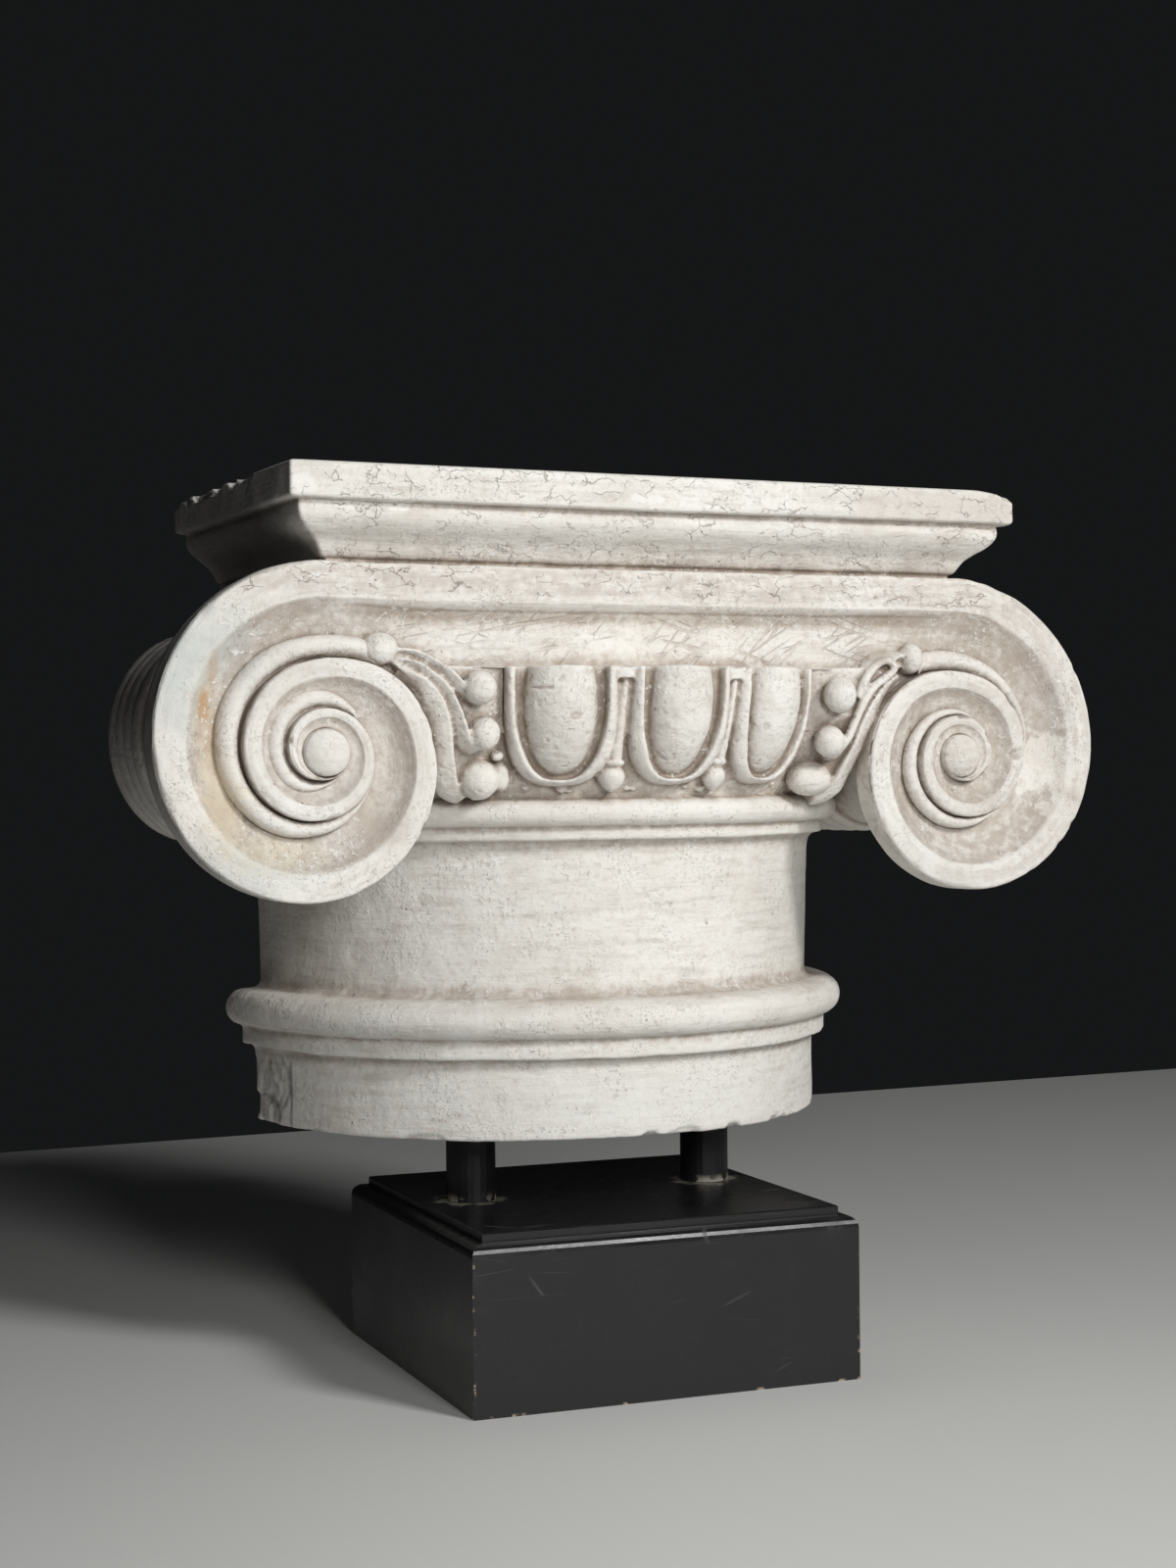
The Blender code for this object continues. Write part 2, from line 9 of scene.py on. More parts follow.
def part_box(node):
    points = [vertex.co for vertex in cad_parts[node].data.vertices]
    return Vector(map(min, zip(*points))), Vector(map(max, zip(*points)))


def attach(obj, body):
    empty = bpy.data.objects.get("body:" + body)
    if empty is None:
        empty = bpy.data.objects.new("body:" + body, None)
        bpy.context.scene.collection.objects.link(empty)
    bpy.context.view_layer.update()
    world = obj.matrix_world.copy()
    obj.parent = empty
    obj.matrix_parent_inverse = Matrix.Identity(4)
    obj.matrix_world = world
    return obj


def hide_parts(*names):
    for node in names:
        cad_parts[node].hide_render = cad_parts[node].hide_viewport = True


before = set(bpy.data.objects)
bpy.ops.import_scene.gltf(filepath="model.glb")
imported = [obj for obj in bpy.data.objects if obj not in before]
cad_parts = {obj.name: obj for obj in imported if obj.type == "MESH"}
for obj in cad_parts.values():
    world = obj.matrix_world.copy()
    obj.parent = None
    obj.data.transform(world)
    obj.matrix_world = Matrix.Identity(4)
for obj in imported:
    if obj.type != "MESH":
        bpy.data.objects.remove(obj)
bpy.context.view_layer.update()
capitalLow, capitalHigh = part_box("capital")
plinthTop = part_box("plinth")[1].z

# the capital looks along -y, and its back is one flat plane
topZ = capitalHigh.z
backY = capitalHigh.y
footZ = capitalLow.z
print("frame loaded: capital", [round(v, 4) for v in (*capitalLow, *capitalHigh)])


def setSockets(tree, item, sockets):
    for socket, value in sockets.items():
        target = item.inputs[socket]
        if isinstance(value, bpy.types.NodeSocket):
            tree.links.new(value, target)
        else:
            target.default_value = value


def addNode(tree, kind, sockets=None, **settings):
    item = tree.nodes.new(kind)
    for key, value in settings.items():
        setattr(item, key, value)
    setSockets(tree, item, sockets or {})
    return item


def latticeNoise(points, size, seed=0):
    # smooth value noise from -1 to 1, the same on every run; the large odd numbers only shuffle bits
    place = np.asarray(points, float) / size + seed * 7.31
    cell = np.floor(place).astype(np.int64)
    part = place - cell
    part = part * part * (3 - 2 * part)
    total = np.zeros(len(place))
    for corner in range(8):
        step = np.array([corner & 1, corner >> 1 & 1, corner >> 2 & 1])
        key = (cell + step) @ np.array([374761393, 668265263, 1274126177]) + seed * 974711
        key = (key ^ (key >> 13)) * 1103515245 & 0xFFFFFFFF
        key = (key ^ (key >> 16)) * 69069 & 0xFFFFFFFF
        share = np.prod(np.where(step, part, 1 - part), axis=1)
        total += share * ((key >> 8) / float(0xFFFFFF) * 2 - 1)
    return total


def layeredNoise(points, size, layers=3, seed=0):
    # each layer is half as coarse and half as strong as the one before
    total, strength, reach = 0, 1.0, 0
    for layer in range(layers):
        total = total + strength * latticeNoise(points, size / 2 ** layer, seed + layer)
        reach += strength
        strength *= 0.5
    return total / reach


def eased(value):
    value = np.clip(value, 0.0, 1.0)
    return value * value * (3 - 2 * value)


def rise(value, start, span):
    # 0 up to start, then smoothly up to 1 over the span
    return eased((value - start) / span)


def fall(value, end, span):
    # 0 from end on, smoothly up to 1 over the span before it
    return eased((end - value) / span)


def mix(a, b, share):
    return a + (b - a) * share


def curveAt(values, place):
    # Catmull-Rom through evenly spaced values
    last = len(values) - 1
    place = min(max(place, 0.0), last)
    i = min(int(place), last - 1)
    t = place - i
    a, b, c, d = (values[min(max(i + k, 0), last)] for k in (-1, 0, 1, 2))
    return 0.5 * (2 * b + (c - a) * t + (2 * a - 5 * b + 4 * c - d) * t * t
                  + (3 * b - a - 3 * c + d) * t ** 3)


def pathPoints(points, count):
    # evenly shared samples of a smooth path through a few points
    points = [np.array(p, float) for p in points]
    return [curveAt(points, (len(points) - 1) * i / (count - 1)) for i in range(count)]


def addObject(name, data):
    item = bpy.data.objects.new(name, data)
    bpy.context.scene.collection.objects.link(item)
    return item


def meshFrom(name, verts, faces):
    mesh = bpy.data.meshes.new(name)
    mesh.from_pydata([tuple(v) for v in verts], [], [tuple(f) for f in faces])
    mesh.validate()
    return addObject(name, mesh)


def fromBmesh(name, bm):
    mesh = bpy.data.meshes.new(name)
    bm.to_mesh(mesh)
    bm.free()
    return addObject(name, mesh)


def ringFaces(rows, columns):
    i = np.arange(rows - 1)[:, None] * columns
    j = np.arange(columns)[None, :]
    k = (j + 1) % columns
    faces = np.stack([i + j, i + k, i + columns + k, i + columns + j], -1).reshape(-1, 4).tolist()
    faces.append(list(range(columns))[::-1])
    faces.append([(rows - 1) * columns + n for n in range(columns)])
    return faces


def sawLevel(bm, z):
    # take off what stands above a height and close the cut
    everything = bm.verts[:] + bm.edges[:] + bm.faces[:]
    cut = bmesh.ops.bisect_plane(bm, geom=everything, plane_co=(0, 0, z), plane_no=(0, 0, 1),
                                 clear_outer=True)
    bmesh.ops.edgeloop_fill(bm, edges=[e for e in cut["geom_cut"] if isinstance(e, bmesh.types.BMEdge)])
    bmesh.ops.recalc_face_normals(bm, faces=bm.faces)


def ringMesh(name, rings, sawnAt=None):
    # closed rings of equal length, one above the other, with both ends filled
    rings = np.asarray(rings, float)
    item = meshFrom(name, rings.reshape(-1, 3), ringFaces(*rings.shape[:2]))
    bm = bmesh.new()
    bm.from_mesh(item.data)
    bmesh.ops.recalc_face_normals(bm, faces=bm.faces)
    if sawnAt:
        sawLevel(bm, sawnAt)
    bm.to_mesh(item.data)
    bm.free()
    item.data.update()
    return item


def makeBall(centre, radius, stretch=(1, 1, 1), name="ball", sides=28, point=0.0):
    # point draws the lower half in, like a drop
    bm = bmesh.new()
    bmesh.ops.create_uvsphere(bm, u_segments=sides, v_segments=sides * 2 // 3, radius=1.0)
    for vert in bm.verts:
        narrow = 1 - point * min(vert.co.z - 0.15, 0.0) ** 2
        vert.co = Vector(centre) + Vector([vert.co[k] * radius * stretch[k] * (narrow if k < 2 else 1)
                                           for k in range(3)])
    return fromBmesh(name, bm)


def joined(name, items):
    bm = bmesh.new()
    for item in items:
        bm.from_mesh(item.data)
    result = fromBmesh(name, bm)
    for item in items:
        bpy.data.objects.remove(item)
    return result


def applied(item):
    # the evaluated mesh takes the place of the modifiers
    bpy.context.view_layer.update()
    graph = bpy.context.evaluated_depsgraph_get()
    mesh = bpy.data.meshes.new_from_object(item.evaluated_get(graph))
    item.modifiers.clear()
    item.data = mesh
    return item


def readVectors(collection, field):
    values = np.zeros(len(collection) * 3)
    collection.foreach_get(field, values)
    return values.reshape(-1, 3)


# the round part: each stretch of its profile as radius and height, each ring as radius, height and bulge
shaft = {"axisX": 0.0016, "segments": 330, "profileStep": 0.00115, "brushRadius": 0.155,
         "foot": ((0.1400, 0.1204), (0.1538, 0.1204), (0.1538, 0.1575), (0.1560, 0.1602), (0.1605, 0.1602),
                  (0.1605, 0.1700)),
         "torus": (0.1601, 0.1794, 0.0094),
         "neck": ((0.1601, 0.1888), (0.1530, 0.1892), (0.1505, 0.1920), (0.1507, 0.2060), (0.1510, 0.2200),
                  (0.1516, 0.2400), (0.1524, 0.2600), (0.1535, 0.2640), (0.1565, 0.2660), (0.1605, 0.2660),
                  (0.1605, 0.2726)),
         "astragal": (0.1615, 0.2796, 0.0068),
         "crown": (0.1620, 0.2868),
         "echinus": ((0.1610, 0.2860), (0.1645, 0.2900), (0.1690, 0.2980), (0.1735, 0.3080), (0.1772, 0.3200),
                     (0.1800, 0.3340), (0.1812, 0.3490)),
         "echinusSunk": 0.0004, "echinusFromZ": 0.288, "echinusStep": 0.0022, "lid": (0.1400, 0.3492)}


def halfRound(form, steps):
    radius, height, bulge = form
    angles = [-pi / 2 + pi * i / steps for i in range(1, steps)]
    return [(radius + bulge * cos(a), height + bulge * sin(a)) for a in angles]


def echinusRadius(z):
    radii, heights = zip(*shaft["echinus"])
    return np.interp(z, heights, radii)


def resampled(profile, step):
    # a polyline cut into short even lengths, its corners then rounded a little
    points = np.array(profile)
    lengths = np.hypot(*np.diff(points, axis=0).T)
    along = np.concatenate([[0], np.cumsum(lengths)])
    places = np.linspace(0, along[-1], int(along[-1] / step) + 1)
    fine = np.stack([np.interp(places, along, points[:, k]) for k in (0, 1)], -1)
    for _ in range(2):
        fine[1:-1] = 0.25 * fine[:-2] + 0.5 * fine[1:-1] + 0.25 * fine[2:]
    return fine


def onAxis(radius, turn, z):
    return (shaft["axisX"] + radius * sin(turn), backY - radius * cos(turn), z)


def roundShaft(points):
    # how far each point is turned round the shaft's axis, and its distance from it
    across, ahead = points[:, 0] - shaft["axisX"], backY - points[:, 1]
    return np.arctan2(across, ahead), np.hypot(across, ahead)


def makeShaft():
    profile = [*shaft["foot"], *halfRound(shaft["torus"], 16), *shaft["neck"],
               *halfRound(shaft["astragal"], 12), shaft["crown"]]
    ground = [(radius - shaft["echinusSunk"], z) for radius, z in shaft["echinus"]
              if z > shaft["echinusFromZ"]]
    profile = np.vstack([resampled(profile, shaft["profileStep"]), resampled(ground, shaft["echinusStep"]),
                         [shaft["lid"]]])
    turns = np.linspace(-pi / 2, pi / 2, shaft["segments"] + 1)
    rings = [np.stack([shaft["axisX"] + radius * np.sin(turns), backY - radius * np.cos(turns),
                       np.full(len(turns), z)], -1) for radius, z in profile]
    return ringMesh("shaft", rings)


# both volutes; radii are taken at every eighth of a turn from the top, and depths count from the face
volute = {"eyeX": 0.1703, "eyeZ": {-1: 0.3086, 1: 0.3052}, "faceY": -0.0845, "topZ": 0.3955,
          "thickness": 0.0156,
          "radii": (0.0849, 0.0803, 0.0748, 0.0680, 0.0597, 0.0533, 0.0488, 0.0430, 0.0413, 0.0390, 0.0353,
                    0.0306, 0.0262, 0.0228, 0.0212, 0.0203, 0.0195, 0.0178, 0.0150, 0.0126, 0.0112),
          "steps": 144, "sideSteps": 9,
          "eyeRadius": 0.0110, "eyeRise": 0.0050, "eyeSeat": 0.0035, "eyeSunk": 0.0008,
          "eyeRings": (0.97, 0.92, 0.85, 0.75, 0.63, 0.5, 0.36, 0.22, 0.1),
          "bandLeast": 0.0015, "bandShare": 0.172, "bandMost": 0.46, "bandSag": -0.00035,
          "edge": 0.0016, "innerEdge": 0.0013, "rubbedEdge": 0.0044,
          "dishShare": 0.45, "dishSpan": 0.0215, "dishSteps": 20, "scoop": 2.6,
          "rimDepth": 0.0016, "creviceDepth": 0.0062, "creviceShare": 0.48, "creviceLeast": 0.0006}
# the level channel between them; its floor begins at the section's 20th point
channel = {"bottomZ": 0.3485, "halfLength": 0.1440, "flatShare": 0.80, "lift": 0.0018, "depth": 0.0075,
           "lipDepth": 0.0050, "shoulder": 0.0022, "floorFrom": 20, "rows": 250}
spiralSteps = len(volute["radii"]) * volute["steps"] // 8


def voluteRadius(step, side):
    radii = (volute["topZ"] - volute["eyeZ"][side],) + volute["radii"]
    return curveAt(radii, step * 8.0 / volute["steps"])


def spiralPoint(side, radius, angle, y):
    return (side * (volute["eyeX"] + radius * sin(angle)), y, volute["eyeZ"][side] + radius * cos(angle))


def bandWidth(outer, width):
    # the raised band takes a share of the turn and never more than half of it
    return np.minimum(volute["bandLeast"] + volute["bandShare"] * outer, volute["bandMost"] * width)


def cornerSoftness(turned):
    # radius of the band's inner corner at an angle from the volute's top
    rubbed = rise(turned, 0.2, 0.7) * (1 - rise(turned, 3.2, 1.0))
    return mix(volute["innerEdge"], volute["rubbedEdge"], rubbed)


def creviceDepth(step, side):
    # how deep the groove against a turn's outer edge lies
    turned = step / volute["steps"]
    if turned < 1:
        return mix(volute["rimDepth"], volute["creviceDepth"], rise(turned, 0.93, 0.07))
    outer = voluteRadius(step - volute["steps"], side)
    width = outer - voluteRadius(step, side)
    hollow = width - bandWidth(outer, width)
    return max(volute["creviceDepth"] * fall(turned, 1.1, 0.1),
               volute["creviceShare"] * min(hollow, volute["dishSpan"]) + volute["creviceLeast"])


def bandSection(outer, inner, startDepth, endDepth, softness):
    # inward distance and depth across one turn, from its outer edge to the next turn's
    width = outer - inner
    band = bandWidth(outer, width)
    hollow = width - band
    depth = volute["dishShare"] * min(hollow, volute["dishSpan"])
    edge = min(volute["edge"], 0.25 * band)
    soft = min(softness, 0.34 * band)
    lean = min(atan2(volute["scoop"] * depth, hollow), 1.25)
    section = [(0.0, startDepth), (0.02 * edge, 0.55 * startDepth + 0.45 * edge)]
    for i in range(5):
        a = pi / 2 * i / 4
        section.append((edge * (1 - cos(a)) + 0.03 * edge, edge * (1 - sin(a))))
    for i in range(1, 7):
        section.append((mix(edge, band - 0.85 * soft, i / 7), volute["bandSag"] * sin(pi * (i / 7))))
    for i in range(6):
        a = lean * i / 5
        section.append((band - soft * sin(lean) + soft * sin(a), soft * (1 - cos(a))))
    for i in range(1, volute["dishSteps"] + 1):
        share = i / volute["dishSteps"]
        section.append((mix(band, width - 0.0005, share),
                        mix(soft * (1 - cos(lean)), depth, 1 - (1 - share) ** volute["scoop"])))
    section.append((width, endDepth))
    return section


def facesBetween(bm, rows):
    for low, high in zip(rows, rows[1:]):
        for j in range(len(low) - 1):
            bm.faces.new((low[j], high[j], high[j + 1], low[j + 1]))


def makeVolutes():
    bm = bmesh.new()
    turnSteps = volute["steps"]
    faceY = volute["faceY"]
    halves = []
    for side in (-1, 1):

        def put(radius, step, y):
            return bm.verts.new(spiralPoint(side, radius, 2 * pi * step / turnSteps, y))

        eyeRing = [put(volute["eyeRadius"], i, faceY + volute["eyeSeat"]) for i in range(turnSteps)]
        outerVerts = [put(voluteRadius(i, side), i, faceY + creviceDepth(i, side))
                      for i in range(spiralSteps)]
        stations = []
        for i in range(spiralSteps):
            nested = i + turnSteps < spiralSteps      # another turn lies inside this one
            outer = voluteRadius(i, side)
            inner = voluteRadius(i + turnSteps, side) if nested else volute["eyeRadius"]
            endDepth = creviceDepth(i + turnSteps, side) if nested else volute["eyeSeat"]
            section = bandSection(outer, inner, creviceDepth(i, side), endDepth,
                                  cornerSoftness(2 * pi * i / turnSteps))
            row = [outerVerts[i]]
            row += [put(outer - inward, i, faceY + depth) for inward, depth in section[1:-1]]
            row.append(outerVerts[i + turnSteps] if nested else eyeRing[i % turnSteps])
            stations.append(row)
        facesBetween(bm, stations)
        closeTail(bm, stations, eyeRing)
        addEye(bm, side, eyeRing)
        halves.append(stations)
    joinHalves(bm, halves)
    return plateBehind(bm)


def closeTail(bm, stations, eyeRing):
    # the band runs out against the eye
    last = stations[-1]
    following = eyeRing[spiralSteps % volute["steps"]]
    edge = stations[spiralSteps - volute["steps"]][-1]
    for a, b in zip(last, last[1:]):
        if following not in (a, b):
            bm.faces.new((a, following, b))
    if edge is not following:
        bm.faces.new((last[0], edge, following))


def addEye(bm, side, ring):
    # the rounded boss in the middle, from its seat inwards
    turnSteps = volute["steps"]
    for share in volute["eyeRings"]:
        height = volute["eyeSeat"] + volute["eyeRise"] * (1 - share ** 2.3) ** 0.62 - volute["eyeSunk"]
        y = volute["faceY"] + volute["eyeSeat"] - height
        loop = [bm.verts.new(spiralPoint(side, volute["eyeRadius"] * share, 2 * pi * i / turnSteps, y))
                for i in range(turnSteps)]
        for i, j in zip(range(turnSteps), (*range(1, turnSteps), 0)):
            bm.faces.new((ring[i], ring[j], loop[j], loop[i]))
        ring = loop
    middle = bm.verts.new((side * volute["eyeX"], volute["faceY"] - volute["eyeRise"] + volute["eyeSunk"],
                           volute["eyeZ"][side]))
    for a, b in zip(ring, ring[1:] + ring[:1]):
        bm.faces.new((a, b, middle))


def joinHalves(bm, halves):
    # the first station of one volute carried level to the other's
    left, right = halves[0][0], halves[1][0]
    lowEdges = [stations[volute["steps"]][0].co.z for stations in halves]
    flat = channel["flatShare"] * (channel["halfLength"] / volute["eyeX"])
    floorY = volute["faceY"] + channel["depth"]
    floorFrom = channel["floorFrom"]
    rows = [left]
    for n in range(1, channel["rows"]):
        share = -1 + 2 * n / channel["rows"]
        row = [bm.verts.new(a.co.lerp(b.co, n / channel["rows"])) for a, b in zip(left, right)]
        toEnd = rise(abs(share), flat, 1 - flat)
        edgeZ = lowEdges[0] if share < 0 else lowEdges[1]
        lowEdge = mix(channel["bottomZ"], edgeZ + channel["lift"] * (1 - toEnd), toEnd)
        top = row[1].co.z
        stretch = (top - lowEdge) / (top - row[-1].co.z)
        for vert in row[2:]:
            vert.co.z = top + (vert.co.z - top) * stretch
        for place, vert in enumerate(row[floorFrom:]):
            across = place / (len(row) - floorFrom - 1)
            y = floorY - channel["shoulder"] * (1 - rise(across, 0, 0.16))
            y -= (channel["depth"] - channel["lipDepth"]) * rise(across, 0.9, 0.1)
            vert.co.y = mix(y, vert.co.y, toEnd)
        rows.append(row)
    rows.append(right)
    facesBetween(bm, rows)


def plateBehind(bm):
    # walk round the open rim, take it straight back in short steps that wear can bend, and close it;
    # written out step by step, so that points and faces come in the same order on every run
    rimEdges = [edge for edge in bm.edges if edge.is_boundary]
    beside = {vert: [] for edge in rimEdges for vert in edge.verts}
    for edge in rimEdges:
        for vert in edge.verts:
            beside[vert].append(edge.other_vert(vert))
    rim = list(rimEdges[0].verts)
    while len(rim) < len(rimEdges):
        a, b = beside[rim[-1]]
        rim.append(b if a == rim[-2] else a)
    farY = volute["faceY"] + volute["thickness"]
    rows = [rim]
    for n in range(1, volute["sideSteps"] + 1):
        rows.append([bm.verts.new((vert.co.x, mix(vert.co.y, farY, n / volute["sideSteps"]), vert.co.z))
                     for vert in rim])
    facesBetween(bm, [row + row[:1] for row in rows])
    bm.faces.new(rows[-1])
    bmesh.ops.recalc_face_normals(bm, faces=bm.faces)
    return fromBmesh("voluteFace", bm)


# half-round stalks in the volutes' grooves: where each starts, in radians from the volute's top, and its
# width at every eighth of a turn from there
stalk = {-1: ((-0.55, (0.0102, 0.0113, 0.0112, 0.0095, 0.0058, 0.0012, 0.0006)),
              (5.50, (0.0020, 0.0079, 0.0093, 0.0089, 0.0077, 0.0028, 0.0006))),
         1: ((-0.52, (0.0098, 0.0064, 0.0016)),
             (2.36, (0.0008, 0.0058, 0.0080, 0.0074, 0.0050, 0.0026, 0.0006))),
         "rings": 150, "sides": 16, "gap": 0.0007, "riseShare": 0.62, "riseMost": 0.0064, "underShare": 0.3,
         "floorLeast": 0.0034, "floorShare": 0.50, "floorMost": 0.0086}


def makeStalk(name, side, start, widths):
    # it lies outside the next turn's band and thins to nothing at both ends
    eighth = pi / 4
    span = (len(widths) - 1) * eighth - min(start, 0)
    rings = []
    for i in range(stalk["rings"] + 1):
        share = i / stalk["rings"]
        angle = start + span * share
        width = curveAt(widths, max(angle - max(start, 0), 0.0) / eighth)
        width *= rise(share, 0, 0.03) * fall(share, 1, 0.12) * 0.97 + 0.03
        inner = voluteRadius((angle + 2 * pi) * volute["steps"] / (2 * pi), side) + stalk["gap"]
        floorY = volute["faceY"] + min(stalk["floorMost"], stalk["floorLeast"] + stalk["floorShare"] * width)
        height = min(stalk["riseShare"] * width, stalk["riseMost"])
        ring = []
        for k in range(stalk["sides"]):
            b = 2 * pi * k / stalk["sides"]
            out = height * sin(b) * (1 if sin(b) > 0 else stalk["underShare"])
            ring.append(spiralPoint(side, inner + width / 2 + 0.5 * width * cos(b), angle, floorY - out))
        rings.append(ring)
    return ringMesh(name, rings)


# the square slab on top; its profile is how far in and how high, from the top edge down
abacus = {"width": 0.384, "front": -0.1003, "bottomZ": 0.3958, "step": 0.0016, "profileStep": 0.00085,
          "corner": 0.0016, "cornerSteps": 5, "backGap": 0.0002,
          "topInsets": (0.0340, 0.0270, 0.0210, 0.0160, 0.0120, 0.0090, 0.0068, 0.0052, 0.0040, 0.0030,
                        0.0021),
          "profile": ((0.0014, 0.4390), (0.0004, 0.4386), (0.0, 0.4376), (0.0, 0.4233), (0.0008, 0.4225),
                      (0.0064, 0.4221), (0.0058, 0.4205), (0.0056, 0.4180), (0.0061, 0.4155),
                      (0.0078, 0.4128), (0.0106, 0.4102), (0.0146, 0.4075), (0.0180, 0.4046),
                      (0.0198, 0.4018), (0.0213, 0.3992), (0.0218, 0.3981), (0.0240, 0.3977),
                      (0.0241, 0.3964), (0.0230, 0.3925))}


def abacusOutline(inset):
    # from the back left corner round the front to the back right one
    half, corner, step = abacus["width"] / 2, abacus["corner"], abacus["step"]
    side, front, back = half - inset, abacus["front"] + inset, backY - abacus["backGap"]
    depth, length = int((back - front) / step), int(2 * half / step)
    bend = np.linspace(0, pi / 2, abacus["cornerSteps"])[1:]
    return [(-side, back),
            *((-side, y) for y in np.linspace(back, front + corner, depth)[1:]),
            *((-side + corner * (1 - cos(a)), front + corner * (1 - sin(a))) for a in bend),
            *((x, front) for x in np.linspace(-side + corner, side - corner, length)[1:]),
            *((side - corner * (1 - sin(a)), front + corner * (1 - cos(a))) for a in bend),
            *((side, y) for y in np.linspace(front + corner, back, depth)[1:])]


def makeAbacus():
    levels = [(inset, topZ) for inset in abacus["topInsets"]]
    levels += list(resampled(abacus["profile"], abacus["profileStep"]))
    rings = [[(x, y, z) for x, y in abacusOutline(inset)] for inset, z in levels]
    # wider rings have more points, so all are thinned to the shortest one's count
    least = min(len(ring) for ring in rings)
    rings = [[ring[int(round(k * (len(ring) - 1) / (least - 1)))] for k in range(least)] for ring in rings]
    return ringMesh("abacus", rings[::-1])


# the rolls at the sides: a flare behind the volute, a waist, and a belt of reeds at the back
bolster = {"x": 0.1850, "z": 0.3180, "halfWidth": 0.0400, "halfHeight": 0.0490, "segments": 190,
           "overlap": 0.002, "flare": 0.0640, "flareEnd": 0.0020, "flarePower": 2.2, "flareSteps": 60,
           "waistSteps": 14, "reedStart": 0.0275, "reeds": 4, "reedRise": 0.0042, "reedSteps": 14,
           "reedGap": 0.02, "backGap": 0.0006, "lastGap": 0.0004}
# the block under the abacus, between the bolsters
cushion = {"inset": 0.0232, "overlap": 0.004, "topOverlap": 0.003, "backGap": 0.0005, "rows": 24,
           "columns": 90}


def makeBolster(side):
    start = volute["faceY"] + volute["thickness"] - bolster["overlap"]
    halfWidth, halfHeight, flare = bolster["halfWidth"], bolster["halfHeight"], bolster["flare"]
    stations = []
    for i in range(bolster["flareSteps"] + 1):
        share = i / bolster["flareSteps"]
        ease = (1 - share) ** bolster["flarePower"]
        stations.append((mix(start, bolster["flareEnd"], share), mix(halfWidth, flare, ease),
                         mix(halfHeight, flare, ease)))
    waist = np.linspace(bolster["flareEnd"], bolster["reedStart"], bolster["waistSteps"])[1:-1]
    stations += [(y, halfWidth, halfHeight) for y in waist]
    pitch = (backY - bolster["backGap"] - bolster["reedStart"]) / bolster["reeds"]
    for n in range(bolster["reeds"]):
        for k in range(bolster["reedSteps"] + 1):
            a = pi * k / bolster["reedSteps"]
            height = bolster["reedRise"] * (sin(a) ** 0.75 if 0 < k < bolster["reedSteps"] else 0.0)
            along = n + bolster["reedGap"] + (1 - 2 * bolster["reedGap"]) * (1 - cos(a)) / 2
            stations.append((bolster["reedStart"] + pitch * along, halfWidth + height, halfHeight + height))
    stations.append((backY - bolster["lastGap"], halfWidth, halfHeight))
    angles = np.linspace(0, 2 * pi, bolster["segments"], endpoint=False)
    rings = [np.stack([side * (bolster["x"] + across * np.sin(angles)), np.full(len(angles), y),
                       bolster["z"] + up * np.cos(angles)], -1) for y, across, up in stations]
    return ringMesh("bolsterLeft" if side < 0 else "bolsterRight", rings)


def makeCushion():
    side = abacus["width"] / 2 - cushion["inset"]
    front = volute["faceY"] + volute["thickness"] - cushion["overlap"]
    xs = np.linspace(-side, side, cushion["columns"])
    rings = [[(x, front, z) for x in xs] + [(x, backY - cushion["backGap"], z) for x in xs[::-1]]
             for z in np.linspace(bolster["z"], abacus["bottomZ"] + cushion["topOverlap"], cushion["rows"])]
    return ringMesh("cushion", rings)


# the carving on the echinus; turns are round the shaft's axis, 0 straight ahead
carving = {"eggs": 3, "eggTurn": radians(18.2), "topZ": 0.3490, "voxel": 0.00082, "sunk": 0.004,
           "groundTurn": radians(35), "groundStep": 0.003, "groundThickness": 0.005}
egg = {"z": 0.3315, "halfHeight": 0.0368, "halfWidth": 0.0175, "bulge": 0.0138, "sunk": 0.003,
       "fullness": 0.92, "topAngle": 0.52, "levels": 40, "sides": 40}
# the U-shaped rim round an egg: its section is sideways in half widths and outwards in rises, egg side first
shell = {"halfWidth": 0.0232, "bottomZ": 0.2940, "bendZ": 0.001, "straight": 0.022, "roundShare": 0.74,
         "width": 0.0068, "rise": 0.0086, "floor": 0.0030, "footWidth": 0.44, "steps": 110,
         "section": ((-1.16, 0.30), (-1.02, 0.66), (-0.84, 0.91), (-0.66, 1.0), (-0.36, 0.99), (0.10, 0.90),
                     (0.60, 0.74), (0.95, 0.54), (1.20, 0.28))}
dart = {"width": 0.0037, "lean": 0.0032, "aside": -0.0013, "rise": 0.0052, "flare": 1.9, "topGap": 0.0075,
        "bulbZ": 0.2965, "bulbRadius": 0.0062, "bulbPoint": 0.42, "collarZ": 0.303, "collarRadius": 0.0042,
        "barTopGap": 0.0006, "barFootGap": 0.0060}
# turn in degrees, height and radius of small lumps left lying under the rims
crumbs = ((-17.6, 0.2905, 0.0024), (-16.4, 0.2897, 0.0014), (-23.5, 0.2915, 0.0013), (-7.1, 0.2908, 0.0012),
          (-6.0, 0.2904, 0.0013), (3.6, 0.2912, 0.0014), (6.6, 0.2900, 0.0020), (7.7, 0.2910, 0.0013),
          (24.3, 0.2920, 0.0014))


def squared(value, power):
    # a power that keeps the value's sign: below 1 it fills a curve out
    return abs(value) ** power * (1 if value >= 0 else -1)


def castTogether(name, items):
    # overlapping closed forms fused to one skin, with the soft joints of a plaster cast
    item = joined(name, items)
    fuse = item.modifiers.new("fuse", "REMESH")
    fuse.mode = "VOXEL"
    fuse.voxel_size = carving["voxel"]
    soft = item.modifiers.new("soften", "SMOOTH")
    soft.factor = 0.5
    soft.iterations = 1
    return applied(item)


